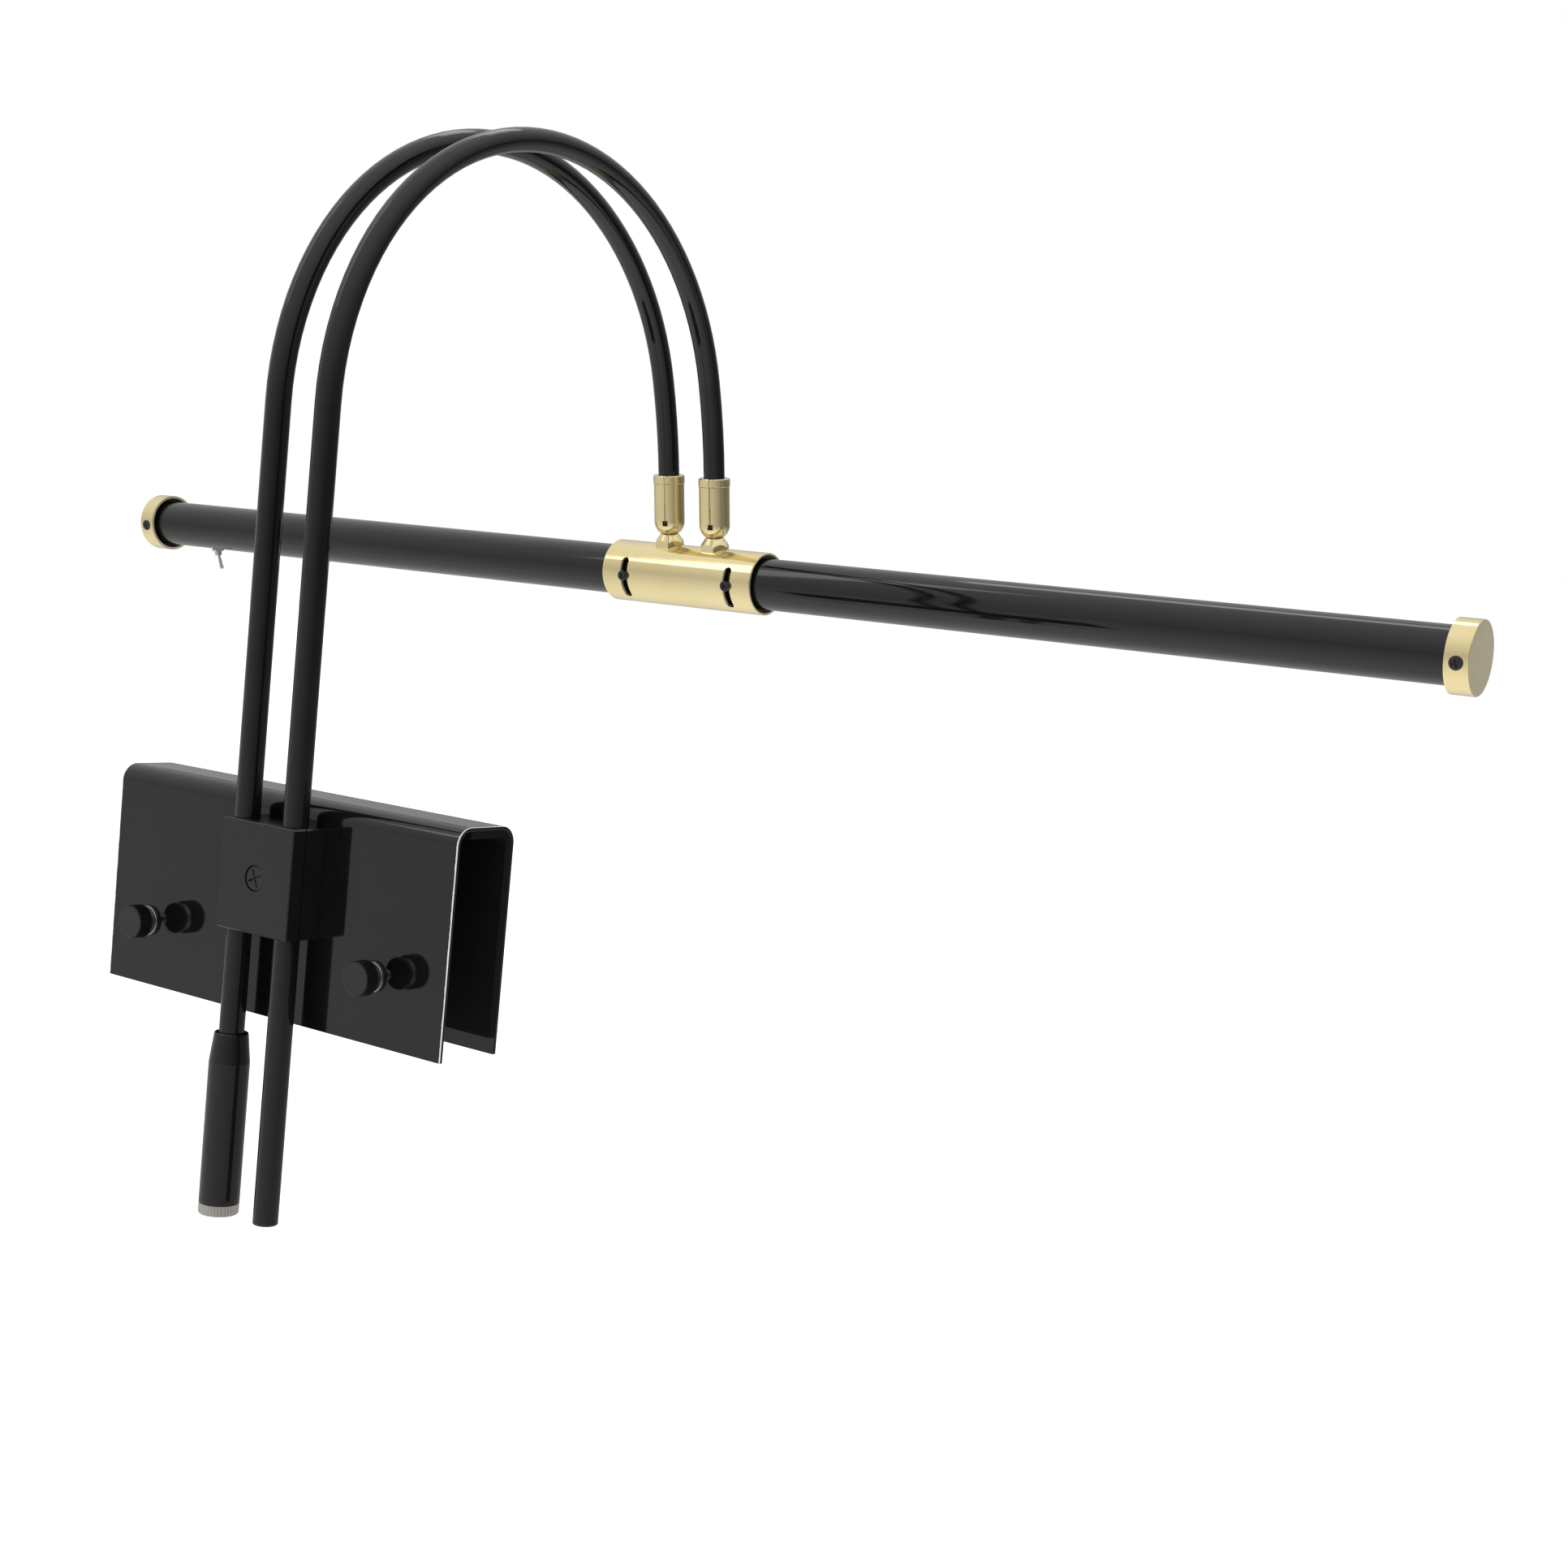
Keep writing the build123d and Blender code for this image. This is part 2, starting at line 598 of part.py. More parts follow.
CUP_BORE_R = BALL_R + CUP_LINING
CUP_SLIT = 0.3
CUP_WINDOW = 2.0
CUP_WINDOW_LOW = 1.4       # the window starts this far below the ball's centre
COLLAR_GAP = 0.05
SEAT_TOP = ARM_TOP_HEIGHT - 0.2
SEAT_BORE_R = 2.6
NECK_R = 1.35
DISH_R = CUP_R + 0.3       # hollow top of the stem's base, clear of the cup's round end
DISH_EDGE_R = 3.5
BASE_R = 5.9
BASE_EDGE_HEIGHT = 12.2
BASE_LOW = 8.0
SPIGOT_R = 2.4
SPIGOT_INSET = 0.25        # the spigot stops this far short of the sleeve's bore
STEM_BORE_R = 0.85
ABOVE_STEM = 30.0          # clears the top of the stem


def on_sphere(radius, across):
    """Height of a point below the ball's centre, on a sphere about it."""
    return BALL_HEIGHT - math.sqrt(radius**2 - across**2)


def ball_socket(side, outer, top, hollow, bore):
    """Round-ended sleeve: hollow about the ball, bored from above, with an open mouth."""
    reach = 2 * CUP_R
    middle = (BALL_HEIGHT + top) / 2
    with BuildSketch(hang_plane(side)) as section:
        with Locations((0, BALL_HEIGHT)):
            Circle(outer)
        with Locations((0, middle)):
            Rectangle(2 * outer, top - BALL_HEIGHT)
        with Locations((0, BALL_HEIGHT)):
            Circle(hollow, mode=Mode.SUBTRACT)
        with Locations((0, middle)):
            Rectangle(2 * bore, top - BALL_HEIGHT, mode=Mode.SUBTRACT)
        with BuildLine():
            Polyline(
                (0, BALL_HEIGHT),
                (reach * math.tan(math.radians(CUP_MOUTH_ANGLE)), BALL_HEIGHT - reach),
                (0, BALL_HEIGHT - reach),
                close=True,
            )
        make_face(mode=Mode.SUBTRACT)
        with Locations((outer, top)):
            Rectangle(2 * outer, 4 * top, mode=Mode.INTERSECT)
    revolve(section.sketch, axis=hang_axis(side))


for name, side in SIDES:
    with BuildPart() as cup:
        ball_socket(side, CUP_R, CUP_TOP, CUP_BORE_R, CUP_BORE_R)
        slit_floor = hang_level(side, BALL_HEIGHT, CUP_SLIT_TURN)
        with BuildSketch(slit_floor):
            with Locations((0, -CUP_R)):
                Rectangle(CUP_SLIT, CUP_R)
        extrude(amount=CUP_TOP - BALL_HEIGHT, mode=Mode.SUBTRACT)
        with BuildSketch(slit_floor.offset(-CUP_WINDOW_LOW)):
            with Locations((0, -CUP_R)):
                Rectangle(CUP_WINDOW, CUP_R)
        extrude(amount=CUP_WINDOW, mode=Mode.SUBTRACT)
    save(cup, f"{name}_cup")

    with BuildPart() as collar:
        collar_low = CUP_TOP + COLLAR_GAP
        pipe(hang_level(side, collar_low), COLLAR_R, ARM_R + FIT, COLLAR_TOP - collar_low)
        rims = collar.edges().filter_by(GeomType.CIRCLE).group_by(SortBy.RADIUS)[-1]
        chamfer(rims, 0.25)
    save(collar, f"{name}_collar")

    with BuildPart() as nipple:
        nipple_height = CUP_TOP - ARM_TOP_HEIGHT
        pipe(hang_level(side, ARM_TOP_HEIGHT), CUP_BORE_R - FIT, ARM_R + FIT, nipple_height)
    save(nipple, f"{name}_nipple")

    with BuildPart() as seat:
        ball_socket(side, CUP_BORE_R - FIT, SEAT_TOP, BALL_R + RUNNING, SEAT_BORE_R)
    save(seat, f"{name}_ball_seat")

    with BuildPart() as stem:
        neck_top = on_sphere(BALL_R, NECK_R)
        dish_low = on_sphere(DISH_R, NECK_R)
        dish_high = on_sphere(DISH_R, DISH_EDGE_R)
        with BuildSketch(hang_plane(side)):
            with BuildLine():
                Line((0, BALL_HEIGHT), (0, BALL_HEIGHT + BALL_R))
                RadiusArc((0, BALL_HEIGHT + BALL_R), (BALL_R, BALL_HEIGHT), BALL_R)
                RadiusArc((BALL_R, BALL_HEIGHT), (NECK_R, neck_top), BALL_R)
                Line((NECK_R, neck_top), (NECK_R, dish_low))
                RadiusArc((NECK_R, dish_low), (DISH_EDGE_R, dish_high), -DISH_R)
                Polyline(
                    (DISH_EDGE_R, dish_high),
                    (BASE_R, BASE_EDGE_HEIGHT),
                    (BASE_R, BASE_LOW),
                    (0, BASE_LOW),
                    (0, BALL_HEIGHT),
                )
            make_face()
        revolve(axis=hang_axis(side))
        with BuildSketch(hang_level(side, BASE_LOW)):
            RegularPolygon(STEM_FLATS / 2, 6, major_radius=False)
        extrude(amount=ABOVE_STEM, mode=Mode.INTERSECT)
        rod(cross_plane(-SLEEVE_LENGTH), SLEEVE_R + FIT, 2 * SLEEVE_LENGTH, Mode.SUBTRACT)
        rod(hang_level(side, SLEEVE_R - SLEEVE_WALL + SPIGOT_INSET), SPIGOT_R, 2 * SLEEVE_WALL)
        rod(hang_level(side, BASE_LOW), STEM_BORE_R, ABOVE_STEM, Mode.SUBTRACT)
    save(stem, f"{name}_ball_stem")

STEM_LEAD_LOW = 4.8

with BuildPart() as stem_lead:
    rod(hang_level(-1, STEM_LEAD_LOW), LEAD_R, BALL_HEIGHT + BALL_R - STEM_LEAD_LOW)
save(stem_lead, "stem_lead")

# ---- Sleeve --------------------------------------------------------------------------

SLEEVE_BORE_R = SLEEVE_R - SLEEVE_WALL
BUSH_LOW_X = 26.8
BUSH_LENGTH = 4.8
THROUGH_WALL = 3.0         # cuts made from inside reach this far out

with BuildPart() as sleeve:
    pipe(cross_plane(-SLEEVE_LENGTH / 2), SLEEVE_R, SLEEVE_BORE_R, SLEEVE_LENGTH)
    chamfer(sleeve.edges().filter_by(GeomType.CIRCLE), 0.2)
    for _, side in SIDES:
        cut_low = SLEEVE_BORE_R - SLEEVE_WALL
        rod(hang_level(side, cut_low), SPIGOT_R + FIT, THROUGH_WALL, Mode.SUBTRACT)
        x = side * SLOT_X
        half = SLOT_WIDTH / 2
        end_inset = math.degrees(half / SLEEVE_R)
        top_angle = SCREW_LINE + SLOT_UP - end_inset
        bottom_angle = SCREW_LINE - SLOT_DOWN + end_inset
        slot_sweep = top_angle - bottom_angle
        cut_high = cut_low + THROUGH_WALL
        arc_band(x - half, x + half, cut_low, cut_high, top_angle, slot_sweep, Mode.SUBTRACT)
        for angle in (top_angle, bottom_angle):
            rod(facing_plane(x, cut_low, angle), half, THROUGH_WALL, Mode.SUBTRACT)
save(sleeve, "sleeve")

for name, side in SIDES:
    with BuildPart() as bush:
        start = BUSH_LOW_X if side > 0 else -BUSH_LOW_X - BUSH_LENGTH
        pipe(cross_plane(start), SLEEVE_BORE_R - FIT, TUBE_R + RUNNING, BUSH_LENGTH)
    save(bush, f"{name}_bush")

# ---- Light tube ----------------------------------------------------------------------

TUBE_BORE_R = TUBE_R - TUBE_WALL
PLUG_FLANGE = 1.2
PLUG_SKIRT = 1.4
PLUG_DEPTH = 11.0
PLUG_BORE_R = 2.5
TUBE_HALF = LIGHT_LENGTH / 2 - CAP_WALL - PLUG_FLANGE
CAP_BORE_R = CAP_R - CAP_WALL
CAP_ROUND = 0.3
CAP_SCREW_X = LIGHT_LENGTH / 2 - CAP_LENGTH / 2
CAP_SCREW_R = 1.3
CAP_SCREW_LOW = 4.0        # inner end of the screw, from the tube's axis
CAP_HEAD_R = 2.3           # countersunk head with a low dome
CAP_HEAD_DOME = 0.35
CAP_RECESS = 2.6
CAP_RECESS_SLOT = 0.5
CAP_RECESS_DEPTH = 0.6
SLOT_SCREW_R = 1.2
SLOT_HEAD_R = 2.0
SLOT_HEAD_HEIGHT = 1.2
SLOT_HEAD_LIFT = 0.15      # clear of the sleeve, so that the light can turn
SLOT_RECESS = 2.2
SLOT_RECESS_SLOT = 0.44
SLOT_RECESS_DEPTH = 0.6
SLOT_NUT_FACE = 7.7
SLOT_NUT_SIZE = 5.0
SLOT_NUT_DEPTH = 2.0
SLOT_TIP_R = 5.3           # inner end of the screw, from the tube's axis
HOLE_LOW_R = 5.0           # holes in the tube are cut outwards from here
HOLE_DEPTH = 8.0
LEAD_SLOT_WIDTH = 3.2
LEAD_SLOT_SPREAD = 100.0
WINDOWS = (
    ("left", -WINDOW_LEFT_X, -WINDOW_INNER_X),
    ("right", WINDOW_INNER_X, WINDOW_RIGHT_X),
)
WINDOW_START = WINDOW_ANGLE + WINDOW_SPREAD / 2
BUSHING_R = 1.45

with BuildPart() as tube:
    pipe(cross_plane(-TUBE_HALF), TUBE_R, TUBE_BORE_R, 2 * TUBE_HALF)
    for _, low, high in WINDOWS:
        window = (low, high, TUBE_BORE_R - 1, TUBE_R + 1, WINDOW_START, WINDOW_SPREAD)
        arc_band(*window, Mode.SUBTRACT)
    for _, side in SIDES:
        holes = (
            (side * CAP_SCREW_X, SCREW_LINE, CAP_SCREW_R),
            (side * SLOT_X, SCREW_LINE, SLOT_SCREW_R),
        )
        for x, angle, radius in holes:
            rod(facing_plane(x, HOLE_LOW_R, angle), radius + FIT, HOLE_DEPTH, Mode.SUBTRACT)
    switch_hole = facing_plane(SWITCH_X, HOLE_LOW_R, SWITCH_ANGLE)
    rod(switch_hole, BUSHING_R + FIT, HOLE_DEPTH, Mode.SUBTRACT)
    lead_low = -ARM_SPACING / 2 - LEAD_SLOT_WIDTH / 2
    lead_start = 90 - HANG_TILT + LEAD_SLOT_SPREAD / 2
    lead_slot = (lead_low, lead_low + LEAD_SLOT_WIDTH, TUBE_BORE_R - 1, TUBE_R + 1, lead_start)
    arc_band(*lead_slot, LEAD_SLOT_SPREAD, Mode.SUBTRACT)
save(tube, "tube_shell")


def countersink(x, play):
    """Cone of a cap screw's head, from its rim down to the shank."""
    with BuildSketch(facing_plane(x, CAP_R, SCREW_LINE)) as rim:
        Circle(CAP_HEAD_R + play)
    extrude(rim.sketch, amount=-(CAP_HEAD_R - CAP_SCREW_R), taper=45)


for name, side in SIDES:
    screw_x = side * CAP_SCREW_X

    with BuildPart() as screw_space:
        rod(facing_plane(screw_x, CAP_R, SCREW_LINE), CAP_HEAD_R + FIT, 2)
        countersink(screw_x, FIT)
        rod(facing_plane(screw_x, CAP_SCREW_LOW - 0.1, SCREW_LINE), CAP_SCREW_R + FIT, HOLE_DEPTH)

    with BuildPart() as cap:
        end = side * LIGHT_LENGTH / 2
        rod(cross_plane(end), CAP_R, -side * CAP_LENGTH)
        fillet(cap.faces().sort_by(Axis.X)[-1 if side > 0 else 0].edges(), CAP_ROUND)
        rod(cross_plane(end - side * CAP_WALL), CAP_BORE_R, -side * CAP_LENGTH, Mode.SUBTRACT)
        add(screw_space.part, mode=Mode.SUBTRACT)
    save(cap, f"{name}_end_cap")

    with BuildPart() as plug:
        tube_end = cross_plane(side * TUBE_HALF)
        inward = -side
        rod(cross_plane(side * (TUBE_HALF + PLUG_FLANGE)), CAP_BORE_R - FIT, inward * PLUG_FLANGE)
        rod(tube_end, CAP_BORE_R - FIT, inward * PLUG_SKIRT)
        rod(tube_end, TUBE_R + FIT, inward * PLUG_SKIRT, Mode.SUBTRACT)
        rod(tube_end, TUBE_BORE_R - FIT, inward * PLUG_DEPTH)
        outer_end = cross_plane(side * (TUBE_HALF + PLUG_FLANGE))
        rod(outer_end, PLUG_BORE_R, inward * (PLUG_FLANGE + PLUG_DEPTH), Mode.SUBTRACT)
        add(screw_space.part, mode=Mode.SUBTRACT)
    save(plug, f"{name}_end_plug")

with BuildPart() as cap_screws:
    for _, side in SIDES:
        x = side * CAP_SCREW_X
        rod(facing_plane(x, CAP_SCREW_LOW, SCREW_LINE), CAP_SCREW_R, CAP_R - CAP_SCREW_LOW)
        countersink(x, 0)
        rod(facing_plane(x, CAP_R, SCREW_LINE), CAP_HEAD_R, CAP_HEAD_DOME)
    rims = cap_screws.edges().filter_by(GeomType.CIRCLE).group_by(SortBy.RADIUS)[-1]
    fillet(rims.filter_by(lambda edge: edge.center().Y < TUBE_Y - CAP_R), CAP_HEAD_DOME - 0.05)
    for _, side in SIDES:
        head_face = facing_plane(side * CAP_SCREW_X, CAP_R + CAP_HEAD_DOME, SCREW_LINE)
        cross_recess(head_face, CAP_RECESS, CAP_RECESS_DEPTH, CAP_RECESS_SLOT, 20)
save(cap_screws, "cap_screws")

with BuildPart() as slot_screws:
    for _, side in SIDES:
        x = side * SLOT_X
        head_low = SLEEVE_R + SLOT_HEAD_LIFT
        head_top = head_low + SLOT_HEAD_HEIGHT
        rod(facing_plane(x, SLOT_TIP_R, SCREW_LINE), SLOT_SCREW_R, head_low + 0.1 - SLOT_TIP_R)
        rod(facing_plane(x, head_low, SCREW_LINE), SLOT_HEAD_R, SLOT_HEAD_HEIGHT)
    heads = slot_screws.edges().filter_by(GeomType.CIRCLE).group_by(SortBy.RADIUS)[-1]
    fillet(heads.filter_by(lambda edge: edge.center().Y < TUBE_Y - SLEEVE_R - 0.5), 0.5)
    for _, side in SIDES:
        head_face = facing_plane(side * SLOT_X, head_top, SCREW_LINE)
        cross_recess(head_face, SLOT_RECESS, SLOT_RECESS_DEPTH, SLOT_RECESS_SLOT, 35)
save(slot_screws, "slot_screws")

with BuildPart() as slot_nuts:
    for _, side in SIDES:
        with BuildSketch(facing_plane(side * SLOT_X, SLOT_NUT_FACE, SCREW_LINE)):
            Rectangle(SLOT_NUT_SIZE, SLOT_NUT_SIZE)
            Circle(SLOT_SCREW_R + FIT, mode=Mode.SUBTRACT)
        extrude(amount=-SLOT_NUT_DEPTH)
save(slot_nuts, "slot_nuts")

# ---- Light source --------------------------------------------------------------------

CARRIER_R = TUBE_BORE_R - 0.2
CARRIER_WEB = 2.0
BOARD_THICK = 1.0
BOARD_WIDTH = 8.0
LED_PITCH = 9.0
LED_LENGTH = 3.5
LED_WIDTH = 2.8
LED_HEIGHT = 0.8
CARRIER_LEG = 1.2
CARRIER_MARGIN = 5.0
DIFFUSER_INSET = 0.1       # the diffuser's face is this far inside the tube's
DIFFUSER_LIP = 5.0         # degrees that it reaches behind the opening's edges
DIFFUSER_MARGIN = 3.0
DIFFUSER_PLAY = 0.4

with BuildPart() as leds:
    for _, low, high in WINDOWS:
        count = int((high - low - LED_PITCH) // LED_PITCH)
        middle = tube_point((low + high) / 2, CARRIER_WEB + BOARD_THICK + FIT, WINDOW_ANGLE)
        with BuildSketch(Plane(origin=middle, x_dir=(1, 0, 0), z_dir=outward(WINDOW_ANGLE))):
            with GridLocations(LED_PITCH, 1, count, 1):
                Rectangle(LED_LENGTH, LED_WIDTH)
        extrude(amount=LED_HEIGHT)
save(leds, "leds")

for name, low, high in WINDOWS:
    with BuildPart() as carrier:
        with BuildSketch(cross_plane(low - CARRIER_MARGIN)):
            Circle(CARRIER_R)
            Circle(CARRIER_R - CARRIER_LEG, mode=Mode.SUBTRACT)
            Rectangle(2 * CARRIER_R, 2 * CARRIER_WEB, mode=Mode.INTERSECT)
            with Locations((0, CARRIER_WEB / 2)):
                Rectangle(2 * CARRIER_R - CARRIER_LEG, CARRIER_WEB)
        extrude(amount=high - low + 2 * CARRIER_MARGIN)
    save(carrier, f"{name}_carrier")

    with BuildPart() as board:
        with BuildSketch(cross_plane(low)):
            with Locations((0, CARRIER_WEB + (BOARD_THICK + FIT) / 2)):
                Rectangle(BOARD_WIDTH, BOARD_THICK - FIT)
        extrude(amount=high - low)
    save(board, f"{name}_led_board")

    with BuildPart() as diffuser:
        arc_band(
            low + FIT,
            high - FIT,
            TUBE_BORE_R - 0.4,
            TUBE_R - DIFFUSER_INSET,
            WINDOW_START - DIFFUSER_PLAY,
            WINDOW_SPREAD - 2 * DIFFUSER_PLAY,
        )
        arc_band(
            low - DIFFUSER_MARGIN,
            high + DIFFUSER_MARGIN,
            TUBE_BORE_R - 1.0,
            TUBE_BORE_R - FIT,
            WINDOW_START + DIFFUSER_LIP,
            WINDOW_SPREAD + 2 * DIFFUSER_LIP,
        )
    save(diffuser, f"{name}_diffuser")

# ---- Driver, leads and switch --------------------------------------------------------

DRIVER_LOW_X = -150.0
DRIVER_HIGH_X = -90.0
DRIVER_LEVEL = -1.1        # the board's underside, towards the light opening
DRIVER_WIDTH = 9.0
DRIVER_PARTS_HEIGHT = 3.4
TUBE_LEAD_R = 0.45
TUBE_LEAD_LEVEL = -1.7
TUBE_LEAD_APART = 2.2
SWITCH_LEAD_APART = 1.4
LEFT_LEAD_END = -9.0
RIGHT_LEAD_END = 46.0

with BuildPart() as driver_board:
    with BuildSketch(cross_plane(DRIVER_LOW_X)):
        with Locations((0, DRIVER_LEVEL + BOARD_THICK / 2)):
            Rectangle(DRIVER_WIDTH, BOARD_THICK)
    extrude(amount=DRIVER_HIGH_X - DRIVER_LOW_X)
save(driver_board, "driver_board")

with BuildPart() as driver_parts:
    underside = tube_point(0, DRIVER_LEVEL - FIT, WINDOW_ANGLE)
    with BuildSketch(Plane(origin=underside, x_dir=(1, 0, 0), z_dir=-outward(WINDOW_ANGLE))):
        with Locations((-137, 0)):
            Rectangle(7, 7)
        with Locations((-124, 0), (-114, 1.2)):
            Circle(2.6)
        with Locations((-103, 0)):
            Rectangle(5, 4)
    extrude(amount=DRIVER_PARTS_HEIGHT)
save(driver_parts, "driver_parts")

with BuildPart() as tube_leads:
    board_end = DRIVER_HIGH_X + RUNNING
    switch_end = SWITCH_X + SWITCH_LENGTH / 2 + RUNNING
    runs = (
        (-TUBE_LEAD_APART, board_end, LEFT_LEAD_END),
        (TUBE_LEAD_APART, board_end, RIGHT_LEAD_END),
        (-SWITCH_LEAD_APART, switch_end, DRIVER_LOW_X - RUNNING),
        (SWITCH_LEAD_APART, switch_end, DRIVER_LOW_X - RUNNING),
    )
    for across, low, high in runs:
        with BuildSketch(cross_plane(low)):
            with Locations((across, TUBE_LEAD_LEVEL)):
                Circle(TUBE_LEAD_R)
        extrude(amount=high - low)
save(tube_leads, "tube_leads")

SWITCH_FACE = 6.2
SWITCH_WIDTH = 8.4
SWITCH_DEPTH = 8.0
BUSHING_END = 12.5
NUT_SEAT = TUBE_R + 0.05
NUT_ACROSS = 4.6
NUT_HEIGHT = 0.9
LEVER_PIVOT = 11.4
LEVER_PLAY = 1.1           # depth of the bushing's socket below the pivot
LEVER_R = 0.5
LEVER_TIP_R = 0.85
LEVER_BALL_R = 0.9
LEVER_LENGTH = 6.6

with BuildPart() as switch_body:
    with BuildSketch(facing_plane(SWITCH_X, SWITCH_FACE, SWITCH_ANGLE)):
        Rectangle(SWITCH_LENGTH, SWITCH_WIDTH)
    extrude(amount=-SWITCH_DEPTH)
save(switch_body, "switch_body")

with BuildPart() as bushing:
    rod(facing_plane(SWITCH_X, SWITCH_FACE, SWITCH_ANGLE), BUSHING_R, BUSHING_END - SWITCH_FACE)
    chamfer(bushing.edges().group_by(Axis.Z)[0], 0.15)
    socket = facing_plane(SWITCH_X, LEVER_PIVOT - LEVER_PLAY, SWITCH_ANGLE)
    rod(socket, LEVER_BALL_R + RUNNING, BUSHING_END, Mode.SUBTRACT)
save(bushing, "switch_bushing")

with BuildPart() as switch_nut:
    with BuildSketch(facing_plane(SWITCH_X, NUT_SEAT, SWITCH_ANGLE)):
        RegularPolygon(NUT_ACROSS / 2, 6, major_radius=False)
        Circle(BUSHING_R + FIT, mode=Mode.SUBTRACT)
    extrude(amount=NUT_HEIGHT)
save(switch_nut, "switch_nut")

with BuildPart() as lever:
    pivot = tube_point(SWITCH_X, LEVER_PIVOT, SWITCH_ANGLE)
    lean = math.radians(LEVER_LEAN)
    lever_line = outward(SWITCH_ANGLE) * math.cos(lean) + Vector(1, 0, 0) * math.sin(lean)
    lever_plane = Plane(origin=pivot, z_dir=lever_line)
    with Locations(lever_plane):
        Sphere(LEVER_BALL_R)
    with Locations(lever_plane.offset(LEVER_LENGTH / 2)):
        Cone(LEVER_R, LEVER_TIP_R, LEVER_LENGTH)
    with Locations(lever_plane.offset(LEVER_LENGTH)):
        Sphere(LEVER_TIP_R)
save(lever, "switch_lever")
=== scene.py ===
import math

import bmesh
import bpy
from mathutils import Matrix, Vector, noise


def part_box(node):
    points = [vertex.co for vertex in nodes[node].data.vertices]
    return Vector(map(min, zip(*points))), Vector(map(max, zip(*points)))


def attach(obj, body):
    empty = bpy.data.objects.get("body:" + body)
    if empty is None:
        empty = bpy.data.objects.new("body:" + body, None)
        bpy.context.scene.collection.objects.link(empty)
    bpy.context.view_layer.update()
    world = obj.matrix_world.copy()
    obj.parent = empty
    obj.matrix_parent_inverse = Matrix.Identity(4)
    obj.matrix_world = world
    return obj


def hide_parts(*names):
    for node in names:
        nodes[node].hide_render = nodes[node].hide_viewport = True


# Looks, finely cut pieces and studio for the clip-on picture light. Lengths are in metres.

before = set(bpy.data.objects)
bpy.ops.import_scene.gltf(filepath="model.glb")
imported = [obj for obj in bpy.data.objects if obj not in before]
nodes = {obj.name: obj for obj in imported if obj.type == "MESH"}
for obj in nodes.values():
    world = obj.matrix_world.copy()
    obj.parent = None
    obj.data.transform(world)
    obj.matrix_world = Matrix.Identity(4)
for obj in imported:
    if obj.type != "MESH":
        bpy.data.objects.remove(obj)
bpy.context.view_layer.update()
MM = 0.001

# ---------------------------------------------------------------- materials

LOOKS = {}                 # every material, by the name it is asked for


class Nodes:
    """Short calls that add shader nodes to a tree and give their outputs."""

    def __init__(self, tree):
        self.tree = tree

    def node(self, kind, inputs=None, **settings):
        """Adds a node; each input is a plain value or another node's output."""
        made = self.tree.nodes.new("ShaderNode" + kind)
        for key, value in settings.items():
            setattr(made, key, value)
        for key, value in (inputs or {}).items():
            if isinstance(value, bpy.types.NodeSocket):
                self.tree.links.new(value, made.inputs[key])
            else:
                made.inputs[key].default_value = value
        return made

    def math(self, operation, a, b=0.0):
        return self.node("Math", {0: a, 1: b}, operation=operation).outputs[0]

    def vector(self, operation, a, b):
        """A sum, difference or product of two vectors."""
        return self.node("VectorMath", {0: a, 1: b}, operation=operation).outputs["Vector"]

    def dot(self, a, b):
        return self.node("VectorMath", {0: a, 1: b}, operation="DOT_PRODUCT").outputs["Value"]

    def length(self, vector):
        return self.node("VectorMath", {0: vector}, operation="LENGTH").outputs["Value"]

    def part(self, vector, axis):
        """A vector's X, Y or Z."""
        return self.node("SeparateXYZ", {"Vector": vector}).outputs[axis]


